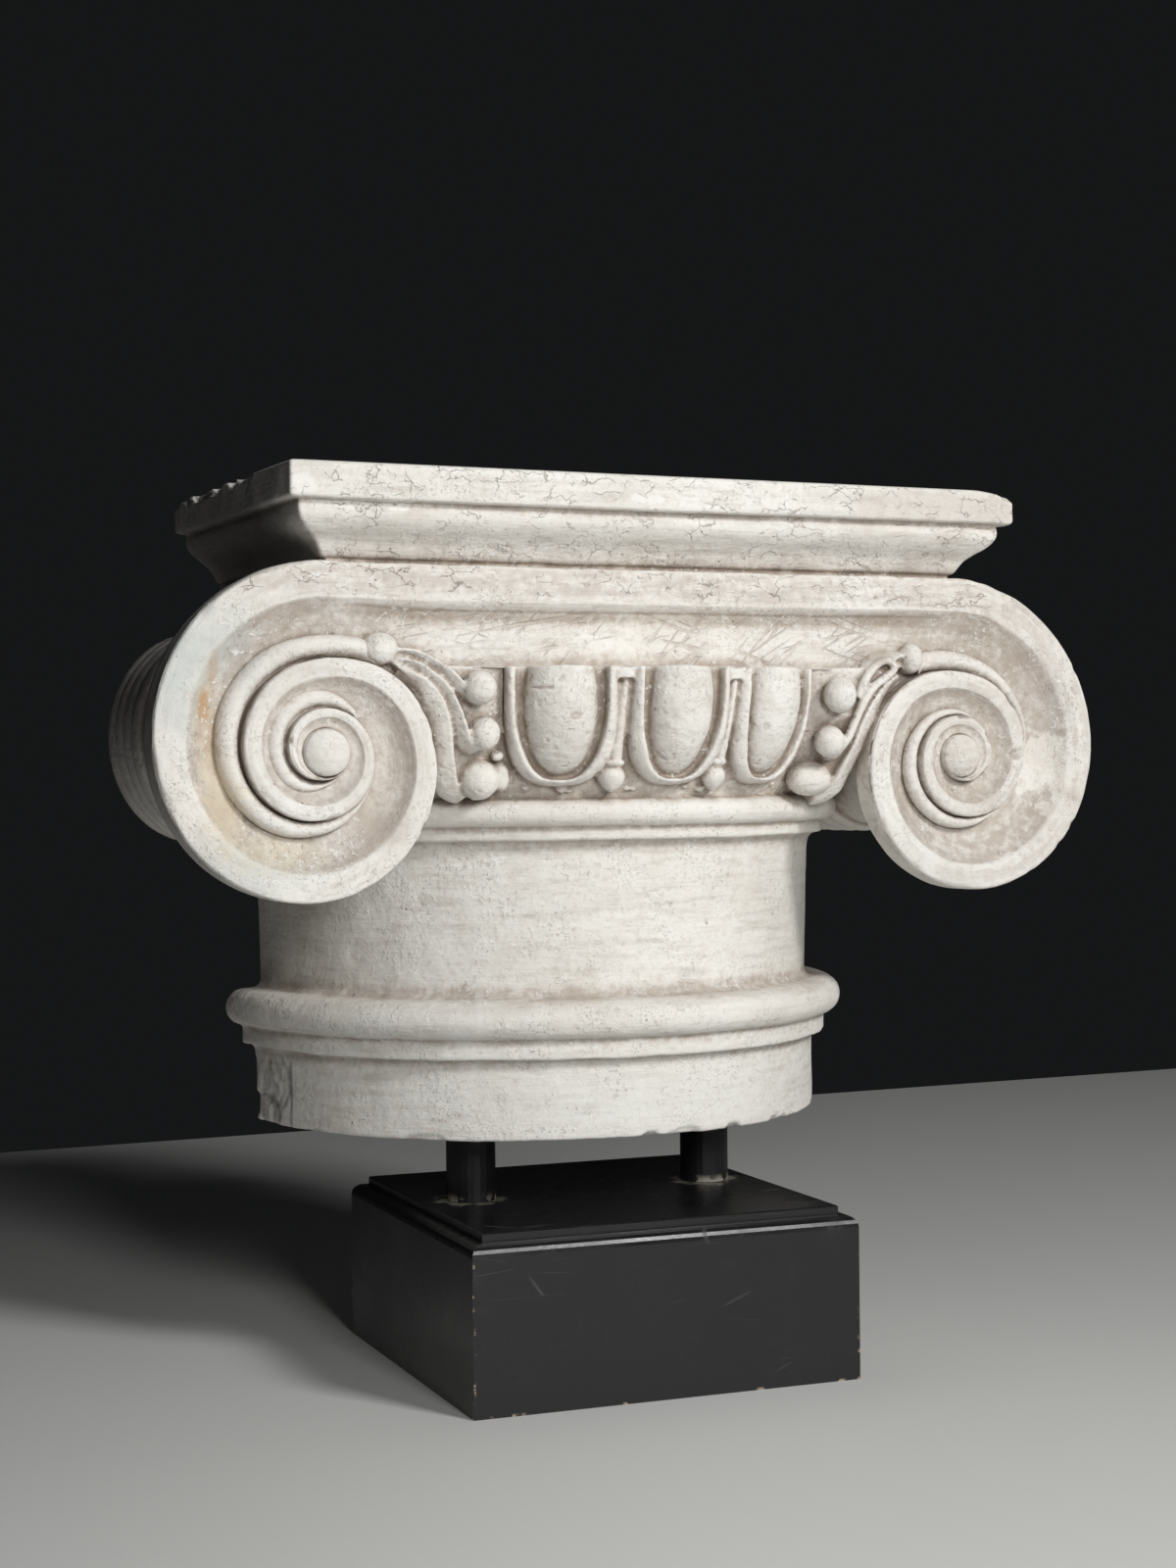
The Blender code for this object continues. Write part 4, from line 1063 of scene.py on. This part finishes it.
def plasterFinish():
    s = Surface("plaster")
    flow = s.attribute("flow", "Vector")
    broad = s.noise(16.0, 5.0, 0.6)
    patch = s.noise(55.0, 6.0, 0.62)
    mottle = s.noise(210.0, 4.0, 0.65)
    streak = s.noise(1.0, 6.0, 0.62, s.mapped((24, 230, 1), vector=flow))
    drag = s.noise(1.0, 5.0, 0.6, s.mapped((75, 900, 1), vector=flow))
    speck = s.noise(900.0, 3.0, 0.6)
    grain = s.noise(420.0, 5.0, 0.65)
    tone = s.coat("cream", "white", s.between(broad, 0.36, 0.64))
    # thin taupe wash, brushed along the forms, and the paint's own unevenness
    brushed = s.times(s.between(streak, 0.44, 0.70), s.between(patch, 0.32, 0.60), True)
    tone = s.coat(tone, "taupe", s.times(brushed, 0.48))
    # brown wash from the point attribute, which in the volute dishes and round the eggs is painted shade too
    local = s.times(s.attribute("wash"), s.between(s.plus(streak, mottle), 0.78, 1.14, 0.25, 1.15))
    tone = s.coat(tone, "taupe", s.times(local, 0.62, True))
    tone = s.coat(tone, "taupe", s.between(grain, 0.46, 0.76, 0.0, 0.36))
    tone = s.coat(tone, "taupe", s.between(mottle, 0.52, 0.74, 0.0, 0.22))
    tone = s.coat(tone, "white", s.between(speck, 0.58, 0.80, 0.0, 0.40))
    tone = s.coat(tone, "white", s.between(drag, 0.56, 0.76, 0.0, 0.30))
    # painted shade with some grime: the colour darkens where the form closes in, from an occlusion node and
    # the hollows found on the mesh
    contactShade = s.node("ShaderNodeAmbientOcclusion", {"Distance": 0.011}, samples=6).outputs["AO"]
    shadeAndDirtMask = s.plus(s.times(s.attribute("cavity"), 0.60), s.times(s.between(contactShade, 0.94, 0.28), 0.85))
    shadeAndDirtMask = s.times(shadeAndDirtMask, s.between(s.plus(patch, mottle), 0.70, 1.20, 0.50, 1.20), True)
    tone = s.coat(tone, "recessDirtAndShade", s.between(shadeAndDirtMask, 0.02, 0.55, 0.0, 0.85, smooth=False))
    tone = s.coat(tone, "grimeAndDeepShade", s.between(shadeAndDirtMask, 0.55, 1.0, 0.0, 0.75))
    # rubbed edges are chalk white
    rub = s.times(s.attribute("edge"), s.between(grain, 0.35, 0.60), True)
    tone = s.coat(tone, "white", s.times(rub, 0.65))
    uneven = s.around(s.plus(s.noise(130.0, 3.0), mottle), (1.5, -1.5))
    for colour, centre, reach, strength, soft in stainsAndShadePatches:
        tone = s.coat(tone, colour, s.times(s.spot(centre, reach, uneven, soft), strength))
    # short wandering cracks, only here and there
    wander = s.noiseNode(230.0, 2.0).outputs["Color"]
    wander = s.node("ShaderNodeVectorMath", {0: wander, 1: (0.0085, 0.0085, 0.0085)},
                    operation="MULTIPLY").outputs["Vector"]
    warped = s.node("ShaderNodeVectorMath", {0: s.mapped((0.75, 0.75, 1.6)), 1: wander},
                    operation="ADD").outputs["Vector"]
    web = s.between(s.cells(105.0, vector=warped), 0.026, 0.008)
    crack = s.times(web, s.between(s.noise(70.0, 3.0), 0.49, 0.58))
    crack = s.times(crack, s.between(s.attribute("crackle"), 0.0, 1.0, 0.12, 1.0), True)
    tone = s.coat(tone, "crackBrown", s.times(crack, 0.45))
    # fine lines scratched slantwise over the channel's floor: turn, length, fineness and a shift for each set
    scratch = None
    for turn, along, across, shift in ((0.55, 14.0, 420.0, 1.3), (-0.32, 11.0, 380.0, 4.1),
                                       (0.18, 12.0, 460.0, 7.7), (0.85, 20.0, 400.0, 3.2)):
        turned = s.mapped((1, 1, 1), (0, 0, turn), (shift, shift, 0), flow)
        line = s.between(s.noise(1.0, 1.0, 0.3, s.mapped((along, across, 1), vector=turned)), 0.622, 0.660)
        scratch = s.math("MAXIMUM", scratch, line) if scratch else line
    scratch = s.times(scratch, s.attribute("scratched"), True)
    scratch = s.times(scratch, s.between(s.noise(38.0, 3.0), 0.40, 0.56), True)
    tone = s.coat(tone, "recessDirtAndShade", s.times(scratch, 0.42))
    # flakes of thicker plaster and small knocks, crisp, in loose patches
    knocked = s.noise(380.0, 2.5, 0.5)
    loose = s.between(s.noise(44.0, 3.0), 0.47, 0.60)
    flake = s.times(s.between(knocked, 0.590, 0.620), loose, True)
    knock = s.times(s.between(knocked, 0.365, 0.335), loose, True)
    tone = s.coat(tone, "white", s.times(flake, 0.55))
    tone = s.coat(tone, "recessDirtAndShade", s.times(knock, 0.28))
    # burst air bubbles
    pits = s.between(s.cells(115.0, "F1"), 0.085, 0.045)
    pits = s.times(pits, s.between(s.noise(40.0, 2.0), 0.52, 0.60), True)
    tone = s.coat(tone, "grimeAndDeepShade", s.times(pits, 0.55))
    lumps = s.bump(s.plus(s.noise(95.0, 3.0, 0.5), s.times(mottle, 0.2)), 0.0011, 0.55)
    strokes = s.bump(s.plus(streak, s.times(drag, 0.3)), 0.0009, 0.6, lumps)
    fine = s.bump(s.plus(grain, s.times(speck, 0.35)), 0.00022, 0.8, strokes)
    raised = s.bump(s.math("SUBTRACT", flake, knock), 0.00040, 0.8, fine)
    marks = s.bump(s.plus(s.plus(crack, pits), scratch), 0.0006, 0.9, raised, invert=True)
    return s.finish({"Base Color": tone, "Roughness": s.between(grain, 0.3, 0.7, 0.62, 0.84),
                     "Specular IOR Level": 0.35, "Normal": marks})


# the base and its posts; corner, foot and glue are how far wear and residue reach
stand = {"half": 0.100, "turn": radians(3.4), "corner": (0.0016, 0.0003), "foot": (0.0016, 0.0004),
         "glueReach": 0.0035, "residue": (0.0050, 0.0008)}


def blackLacquer():
    s = Surface("blackLacquer")
    cloud = s.noise(14.0, 5.0, 0.6)
    peel = s.noise(420.0, 2.0)
    dust = s.times(s.between(s.noise(60.0, 6.0, 0.7), 0.55, 0.75), s.between(cloud, 0.4, 0.6), True)
    own = s.node("ShaderNodeSeparateXYZ", {0: s.mapped((1, 1, 1), (0, 0, stand["turn"]))}).outputs
    # bare wood shows in flecks where two faces meet, and along the foot
    farEdge, nearEdge = (stand["half"] - gap for gap in stand["corner"])
    sideX, sideY = (s.between(s.math("ABSOLUTE", own[k], 0.0), farEdge, nearEdge) for k in (0, 1))
    corner = s.times(s.times(sideX, sideY, True), s.between(s.noise(170.0, 4.0, 0.7), 0.56, 0.60))
    foot = s.times(s.between(own[2], *stand["foot"]), s.between(s.noise(130.0, 3.0), 0.60, 0.66), True)
    scuff = s.between(s.cells(9.0, vector=s.mapped((1.0, 1.0, 9.0), (0.3, 0.5, 0.1))), 0.012, 0.003)
    scuff = s.times(scuff, s.between(s.noise(22.0, 3.0), 0.56, 0.66), True)
    tone = s.coat("lacquer", "dust", s.times(dust, 0.55))
    tone = s.coat(tone, "scuff", s.times(scuff, 0.35))
    tone = s.coat(tone, "bareWood", s.times(s.math("MAXIMUM", corner, foot), 0.8))
    # pale glue squeezed out round the posts
    smear = s.around(s.noise(95.0, 5.0, 0.7), (2.4, -1.2))
    for post in ("post_left", "post_right"):
        low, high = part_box(post)
        centre = ((low.x + high.x) / 2, (low.y + high.y) / 2, plinthTop)
        reach = (high.x - low.x) / 2 + stand["glueReach"]
        tone = s.coat(tone, "glue", s.times(s.spot(centre, (reach, reach, 0.003), smear, 0.3), 0.55))
    rough = s.plus(s.between(cloud, 0.3, 0.7, 0.22, 0.34), s.times(s.plus(dust, scuff), 0.16))
    waves = s.bump(s.noise(38.0, 3.0), 0.0005, 0.30)
    return s.finish({"Base Color": tone, "Roughness": rough, "Specular IOR Level": 0.5,
                     "Normal": s.bump(peel, 0.00012, 0.35, waves)})


def blackTube():
    s = Surface("blackTube")
    smear = s.noise(70.0, 5.0, 0.65)
    height = s.node("ShaderNodeSeparateXYZ", {0: s.place}).outputs[2]
    far, near = (plinthTop + reach for reach in stand["residue"])
    residue = s.times(s.between(height, far, near), s.between(smear, 0.46, 0.56), True)
    return s.finish({"Base Color": s.coat("tube", "residue", s.times(residue, 0.75)),
                     "Roughness": s.between(smear, 0.35, 0.65, 0.42, 0.55), "Specular IOR Level": 0.3,
                     "Normal": s.bump(s.noise(300.0, 3.0), 0.0001, 0.4)})


plaster, lacquer, tube = plasterFinish(), blackLacquer(), blackTube()
for name, material in (("plinth", lacquer), ("post_left", tube), ("post_right", tube)):
    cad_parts[name].data.materials[0] = material
print("finishes mixed: plaster, lacquer, tube")


carvedNames = ("eggAndDart", "palmetteLeft", "palmetteRight")
# how hollows and rubbed edges are found: smoothing turns and the depths that count as full
marks = {"fineTurns": 5, "wideTurns": 26, "fineDepth": 0.00022, "wideDepth": 0.00075, "edgeDepth": 0.00020}


def spiralPlace(points):
    # for the volutes and their channel: length along the band, distance in from its outer edge,
    # the band's own width there and the width of the hollow beside it
    x, y, z = points.T
    along, inward = np.abs(x), volute["topZ"] - z
    band = np.full(len(x), volute["bandLeast"] + volute["bandShare"] * 0.088)
    hollow = np.full(len(x), 0.033)
    turnSteps = volute["steps"]
    for side in (-1, 1):
        radii = np.array([voluteRadius(i, side) for i in range(spiralSteps + 1)])
        places = np.arange(len(radii))
        length = volute["eyeX"] + np.cumsum(radii) * 2 * pi / turnSteps
        dx, dz = side * x - volute["eyeX"], z - volute["eyeZ"][side]
        reach = np.hypot(dx, dz)
        step = (np.arctan2(dx, dz) % (2 * pi)) * turnSteps / (2 * pi)
        mine = (side * x > 0) & ((dx >= 0) | (reach < np.interp(step, places, radii)))
        for turn in range(4):
            at = step + turn * turnSteps
            outer, inner = np.interp(at, places, radii), np.interp(at + turnSteps, places, radii)
            here = mine & (reach <= outer + (0.004 if turn == 0 else 0)) & (reach > inner)
            own = bandWidth(outer, outer - inner)
            along = np.where(here, np.interp(at, places, length), along)
            inward = np.where(here, outer - reach, inward)
            band, hollow = np.where(here, own, band), np.where(here, outer - inner - own, hollow)
    return along * np.sign(x), inward, band, hollow


def depthBehind(mesh, points, normals, turns):
    # how far each point lies behind its surroundings, smoothed each of these many times
    ends = np.zeros(len(mesh.edges) * 2, np.int64)
    mesh.edges.foreach_get("vertices", ends)
    a, b = ends[0::2], ends[1::2]
    count = len(points)
    degree = np.maximum(np.bincount(a, minlength=count) + np.bincount(b, minlength=count), 1)
    soft = points.copy()
    depth = {}
    for turn in range(1, max(turns) + 1):
        total = np.stack([np.bincount(a, soft[b, k], count) + np.bincount(b, soft[a, k], count)
                          for k in range(3)], -1)
        soft = 0.5 * soft + 0.5 * total / degree[:, None]
        if turn in turns:
            depth[turn] = ((soft - points) * normals).sum(1)
    return [depth[turn] for turn in turns]


def markPoints(mesh, name, values):
    kind, field = ("FLOAT_VECTOR", "vector") if values.ndim == 2 else ("FLOAT", "value")
    layer = mesh.attributes.get(name) or mesh.attributes.new(name, kind, "POINT")
    layer.data.foreach_set(field, values.astype(np.float32).ravel())


def markForm(item, wideTurns=marks["wideTurns"]):
    # what the plaster's finish has to know of each point: hollows, darkened as painted shade with some dirt,
    # rubbed edges, wash and painted shade, crackle, scratches and the direction in which it was brushed
    mesh = item.data
    points, normals = readVectors(mesh.vertices, "co"), readVectors(mesh.vertex_normals, "vector")
    x, y, z = points.T
    turn, radius = roundShaft(points)
    fine, wide = depthBehind(mesh, points, normals, (marks["fineTurns"], wideTurns))
    # points lying behind their surroundings: painted shade with some dirt in the hollows
    cavity = (np.clip(fine / marks["fineDepth"], 0, 1) * 0.45
              + np.clip(wide / marks["wideDepth"], 0, 1) * 0.75)
    edge = np.clip(-fine / marks["edgeDepth"], 0, 1)
    along, inward = x + y, z
    wash = 0.25 * rise(x, 0, 0.12)                         # the right half is browner
    if item.name == "voluteFace":
        along, inward, band, hollow = spiralPlace(points)
        share = np.clip((inward - band) / hollow, 0, 1)
        inDish = rise(inward - band, -0.0004, 0.0012) * (y < volute["faceY"] + volute["thickness"] - 0.003)
        straight = fall(np.abs(x), channel["halfLength"], 0.05) * (z > channel["bottomZ"] - 0.004)
        fade = mix(0.34, 0.09, straight)
        cavity = cavity * (1 - 0.40 * straight * inDish)
        # painted shade, with some brown wash, lies deepest against the band and over all of the right dish;
        # the band's top and the right volute are browner too
        wash = inDish * (0.75 * np.exp(-(share / fade) ** 1.5) + 0.22 * (1 - 0.6 * straight))
        wash = wash * (1 + 0.35 * rise(x, 0, 0.1)) + 0.50 * inDish * rise(x, 0.14, 0.03)
        wash += (0.90 * rise(z, 0.3800, 0.003) + 0.62 * rise(x, 0.15, 0.04)) * (1 - inDish)
    elif item.name == "shaft":
        along = turn * shaft["brushRadius"]
        wash = wash + 0.50 * rise(z, 0.1835, 0.004) * fall(z, 0.1960, 0.006)
        cavity = 0.55 * cavity
    elif item.name == "abacus":
        cavity = 0.55 * cavity
    elif item.name in carvedNames:
        along = turn * 0.8
        # low ground round the eggs and in the gaps beside them: browner, and darker as painted shade with
        # some dirt
        low = fall(radius - echinusRadius(z), 0.0060, 0.0035)
        wash = 0.4 * wash + low
        cavity = cavity + 0.22 * low * rise(z, 0.292, 0.004)
    elif "stalk" in item.name.lower():
        wash = 0.30 + 0.25 * rise(x, 0, 0.1)
    facing = rise(-normals[:, 1], 0.5, 0.3)
    crackle = facing * rise(z, 0.378, 0.006) + rise(z, 0.39, 0.01) * 0.3
    scratched = (facing * rise(z, 0.348, 0.003) * fall(z, 0.3790, 0.008) * fall(np.abs(x), 0.150, 0.04)
                 * (item.name == "voluteFace"))
    strewn = facing * eased(layeredNoise(points, 0.02, 3, 91) * 3) * (1 + 2.5 * (item.name in carvedNames))
    markPoints(mesh, "flow", np.stack([along, inward, np.zeros(len(points))], -1))
    markPoints(mesh, "cavity", np.clip(cavity, 0, 1))
    markPoints(mesh, "strewn", strewn)
    markPoints(mesh, "wash", np.clip(wash, 0, 1))
    markPoints(mesh, "edge", edge)
    markPoints(mesh, "crackle", np.clip(crackle, 0, 1))
    markPoints(mesh, "scratched", scratched)


# hand work and breaks; bites are centre, reach, push and seed
wear = {"lump": 0.00038, "lumpSize": 0.016, "dent": 0.00016, "dentSize": 0.0045,
        "sway": 0.00055, "swaySize": 0.055,
        "eggBites": (((-0.068, -0.094, 0.3385), (0.007, 0.010, 0.0011), (0, 0.0011, 0), 18),
                     ((-0.052, -0.098, 0.3250), (0.005, 0.010, 0.0030), (0, 0.0007, 0), 19)),
        "voluteBites": (((-0.2525, -0.0835, 0.2860), (0.004, 0.006, 0.006), (0.0022, 0.0018, 0.0008), 5),
                        ((0.2040, -0.0845, 0.3060), (0.005, 0.004, 0.004), (0, 0.0012, 0), 6)),
        # degrees round the shaft, and how far each egg stands off its even place
        "eggPlaces": (-30, -20, -6, 6, 20, 30), "eggShifts": (0, 0, 0.9, 0.9, 0.5, 0),
        # turn, height, reach, depth and seed of the breaks at the drum's foot
        "footBreaks": ((-1.42, 0.142, (0.020, 0.022, 0.016), 0.0009, 61),
                       (-1.50, 0.127, (0.016, 0.020, 0.010), 0.0018, 62),
                       (0.12, 0.1212, (0.011, 0.012, 0.0030), 0.0018, 63),
                       (-0.75, 0.1208, (0.013, 0.012, 0.0026), 0.0014, 64)),
        "crackTurn": -1.300, "crackTopZ": 0.1555, "seamZ": 0.2345, "seamClimb": 0.0095, "seamDepth": 0.00045,
        "cornerRub": 0.0024}


def awayFrom(points, centre, reach, size, seed):
    # distance from a centre, 1 at the reach, with a ragged rim
    away = np.linalg.norm((points - np.array(centre)) / np.array(reach), axis=1)
    return away + 0.35 * layeredNoise(points, size, 3, seed)


def bitten(points, centre, reach, push, seed):
    # points near the centre move by push, less towards the rim
    return points + fall(awayFrom(points, centre, reach, 0.006, seed), 1, 0.45)[:, None] * np.array(push)


def chipAlong(points, closeness, size, threshold, depth, push, seed):
    # ragged bites along an arris; closeness is 1 on the arris and 0 a little way off
    bite = rise(layeredNoise(points, size, 3, seed), threshold, 0.35)
    return points + (bite * closeness * depth)[:, None] * push


def workByHand(item):
    points, normals = readVectors(item.data.vertices, "co"), readVectors(item.data.vertex_normals, "vector")
    still = np.clip((backY - 0.004 - points[:, 1]) / 0.006, 0, 1)      # the cast's flat back stays flat
    push = (wear["lump"] * layeredNoise(points, wear["lumpSize"], 2, 3)
            + wear["dent"] * layeredNoise(points, wear["dentSize"], 2, 9))
    sway = wear["sway"] * layeredNoise(points * np.array([1, 1, 0.4]), wear["swaySize"], 2, 21)
    if item.name == "abacus":
        still = still * np.clip((topZ - 0.0006 - points[:, 2]) / 0.002, 0.12, 1)
    points = points + normals * (push * still)[:, None]
    points[:, 2] += sway * still
    if item.name in carvedNames:
        nick = layeredNoise(points, 0.0038, 2, 15)
        rough = 0.00024 * layeredNoise(points, 0.0095, 2, 17) - 0.00034 * rise(nick, 0.42, 0.16)
        rough += 0.00022 * fall(nick, -0.42, 0.14)
        points = points + normals * (rough * still)[:, None]
    if item.name in wearOf:
        points = wearOf[item.name](points, normals)
    item.data.vertices.foreach_set("co", points.astype(np.float32).ravel())
    item.data.update()


def wearEggs(points, normals):
    for bite in wear["eggBites"]:
        points = bitten(points, *bite)
    turn, radius = roundShaft(points)
    turn = turn + np.radians(np.interp(np.degrees(turn), wear["eggPlaces"], wear["eggShifts"]))
    points[:, 0] = shaft["axisX"] + radius * np.sin(turn)
    points[:, 1] = backY - radius * np.cos(turn)
    return points


def wearVolutes(points, normals):
    # rims nibbled back and wavering a little
    along, inward = spiralPlace(points)[:2]
    rim = eased(1 - inward / 0.0032) * (points[:, 1] < volute["faceY"] + 0.006)
    nibble = rise(layeredNoise(points, 0.009, 3, 71), 0.10, 0.35)
    points[:, 1] += 0.0015 * rim * nibble
    waver = layeredNoise(np.stack([along, inward * 0, inward * 0], -1), 0.030, 2, 73)
    points += waver[:, None] * 0.00055 * normals * (1 - np.abs(normals[:, 1:2]))
    for bite in wear["voluteBites"]:
        points = bitten(points, *bite)
    return points


def wearAbacus(points, normals):
    half, front = abacus["width"] / 2, abacus["front"]
    x, y, z = points.T
    nearTop = np.clip(1 - (topZ - z) / 0.0045, 0, 1)
    # broken top edge of the left side, worst towards the back
    leftEdge = nearTop * np.clip(1 - (x + half) / 0.0045, 0, 1) * rise(y, -0.055, 0.06)
    points = chipAlong(points, leftEdge, 0.010, -0.25, 0.0046, np.array([0.55, 0.0, -1.0]), 31)
    # the front's top edge is only nibbled
    frontEdge = nearTop * np.clip(1 - (y - front) / 0.0035, 0, 1)
    points = chipAlong(points, frontEdge, 0.009, 0.42, 0.0016, np.array([0.0, 0.6, -1.0]), 37)
    # front right corner rubbed round and low
    corner = eased(1 - (half - x) / 0.024) * eased(1 - (y - front) / 0.030)
    points[:, 2] -= wear["cornerRub"] * corner * np.clip((z - (topZ - 0.012)) / 0.012, 0, 1)
    return bitten(points, (half, front, topZ), (0.009, 0.009, 0.006), (-0.0014, 0.0012, -0.0006), 41)


def wearShaft(points, normals):
    turn, radius = roundShaft(points)
    radial = np.stack([np.sin(turn), -np.cos(turn), np.zeros(len(points))], -1)
    # sawn lower edge, ragged all round
    low = np.clip(1 - (points[:, 2] - footZ) / 0.0040, 0, 1)
    outer = np.clip((radius - 0.150) / 0.0030, 0, 1)
    points = chipAlong(points, low * outer, 0.012, 0.16, 0.0017, np.array([0.0, 0.0, 1.0]) - 0.5 * radial, 51)
    # rough breaks, and the skin gone left of an upright crack
    for turnAt, z, reach, deep, seed in wear["footBreaks"]:
        rough = 1 + 0.6 * layeredNoise(points, 0.0035, 3, seed)
        away = awayFrom(points, onAxis(shaft["foot"][1][0], turnAt, z), reach, 0.007, seed + 7)
        points = points - radial * (deep * rough * fall(away, 1, 0.35))[:, None]
    ragged = layeredNoise(points * np.array([0, 0, 1]), 0.008, 3, 66)
    left = (turn < wear["crackTurn"] + 0.006 * ragged) * fall(points[:, 2], wear["crackTopZ"], 0.004)
    points = points - radial * (left * (0.0008 + 0.0004 * layeredNoise(points, 0.004, 3, 67)))[:, None]
    # a faint seam that climbs across the neck
    seamZ = wear["seamZ"] + wear["seamClimb"] * turn + 0.0007 * layeredNoise(points, 0.012, 3, 68)
    below = seamZ - points[:, 2]
    seam = rise(below, 0, 0.0010) * eased(1 - below / 0.012) * rise(turn, -0.52, 0.1) * fall(turn, 0.34, 0.1)
    return points - radial * (seam * wear["seamDepth"])[:, None]


wearOf = {"eggAndDart": wearEggs, "voluteFace": wearVolutes, "abacus": wearAbacus, "shaft": wearShaft}

pieces = [makeShaft()]
print("shaft turned:", len(pieces[-1].data.polygons), "faces")
pieces.append(makeVolutes())
print("volutes and channel:", len(pieces[-1].data.polygons), "faces")
for side, word in ((-1, "Left"), (1, "Right")):
    for kind, (start, widths) in zip(("stalk", "innerStalk"), stalk[side]):
        pieces.append(makeStalk(kind + word, side, start, widths))
pieces += [makeAbacus(), makeCushion(), makeBolster(-1), makeBolster(1)]
print("abacus, cushion and bolsters made")

roundTree = repeatTree()
eggAndShell = joined("eggAndShell", [makeEgg(), makeShell(), makeShellFloor()])
eggRun = repeated("eggRun", eggAndShell, carving["eggs"], roundTree, plaster)
dartRun = repeated("dartRun", makeDart(), carving["eggs"] - 1, roundTree, plaster)
carvings = [castTogether("eggAndDart", [makeEchinus(), eggRun, dartRun] + makeCrumbs()),
            castTogether("palmetteLeft", makePalmette(-1)), castTogether("palmetteRight", makePalmette(1))]
pieces += carvings
print("carvings fused:", [len(item.data.polygons) for item in carvings], "faces")

for item in pieces:
    workByHand(item)
    markForm(item)
lumpTree = scatterTree()
lumps = [strew(item, lump["seed"] + n, lumpTree, plaster) for n, item in enumerate(pieces)
         if item.name in (*carvedNames, "voluteFace", "shaft", "abacus")]
pieces.append(joined("plasterCrumbs", lumps))
markForm(pieces[-1], marks["fineTurns"])
print("strewn lumps:", len(pieces[-1].data.polygons), "faces")

for item in pieces:
    item.data.materials.clear()
    item.data.materials.append(plaster)
    item.data.shade_smooth()
    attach(item, "root")
    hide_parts("capital")
triangles = [sum(len(face.vertices) - 2 for face in item.data.polygons) for item in pieces]
print("worked over by hand:", sum(triangles), "triangles in all,", max(triangles), "in the largest piece")


# floor corners, soft lights and the dim room round them
studio = {"floor": ((-0.45, -1.35, 0), (1.30, -1.35, 0), (1.30, 0.85, 0), (-0.45, 0.85, 0)),
          "floorColour": (0.78, 0.78, 0.76, 1), "floorRoughness": 0.55,
          "roomColour": (0.5, 0.52, 0.55, 1), "roomStrength": 0.016, "target": (0, -0.05, 0.25),
          "keySoftbox": {"place": (0.779, -1.977, 1.45), "size": 0.50, "power": 32.0},
          "fillSoftbox": {"place": (-0.17, -1.30, 0.60), "size": 0.3, "power": 6.5}}
# where the camera stands; its angles are radians
view = {"place": (-0.5423, -1.1661, 0.2974), "heading": 0.43450, "pitch": 0.0037, "roll": 0.0096,
        "lens": 57.65}


def makeFloor():
    item = meshFrom("floor", studio["floor"], [(0, 1, 2, 3)])
    pale = bpy.data.materials.new("paleFloor")
    pale.use_nodes = True
    setSockets(pale.node_tree, pale.node_tree.nodes["Principled BSDF"],
               {"Base Color": studio["floorColour"], "Roughness": studio["floorRoughness"]})
    item.data.materials.append(pale)


def lightRoom():
    world = bpy.data.worlds.new("studio")
    world.use_nodes = True
    setSockets(world.node_tree, world.node_tree.nodes["Background"],
               {"Color": studio["roomColour"], "Strength": studio["roomStrength"]})
    bpy.context.scene.world = world
    bpy.context.scene.view_settings.view_transform = "Standard"
    for name in ("keySoftbox", "fillSoftbox"):
        values = studio[name]
        light = bpy.data.lights.new(name, "AREA")
        light.size = values["size"]
        light.energy = values["power"]
        item = addObject(name, light)
        item.location = values["place"]
        aim = Vector(studio["target"]) - Vector(values["place"])
        item.rotation_euler = aim.to_track_quat("-Z", "Y").to_euler()


def placeCamera():
    item = addObject("camera", bpy.data.cameras.new("camera"))
    item.data.sensor_fit = "VERTICAL"
    item.data.sensor_height = 36.0
    item.data.lens = view["lens"]
    item.data.clip_start = 0.05
    heading, pitch, roll = view["heading"], view["pitch"], view["roll"]
    ahead = Vector((sin(heading) * cos(pitch), cos(heading) * cos(pitch), -sin(pitch)))
    level = ahead.cross(Vector((0, 0, 1))).normalized()
    upright = level.cross(ahead)
    right, upward = level * cos(roll) - upright * sin(roll), upright * cos(roll) + level * sin(roll)
    rows = [(right[k], upward[k], -ahead[k], view["place"][k]) for k in range(3)]
    item.matrix_world = Matrix([*rows, (0, 0, 0, 1)])
    bpy.context.scene.camera = item


makeFloor()
lightRoom()
placeCamera()
print("floor, lights and camera placed")
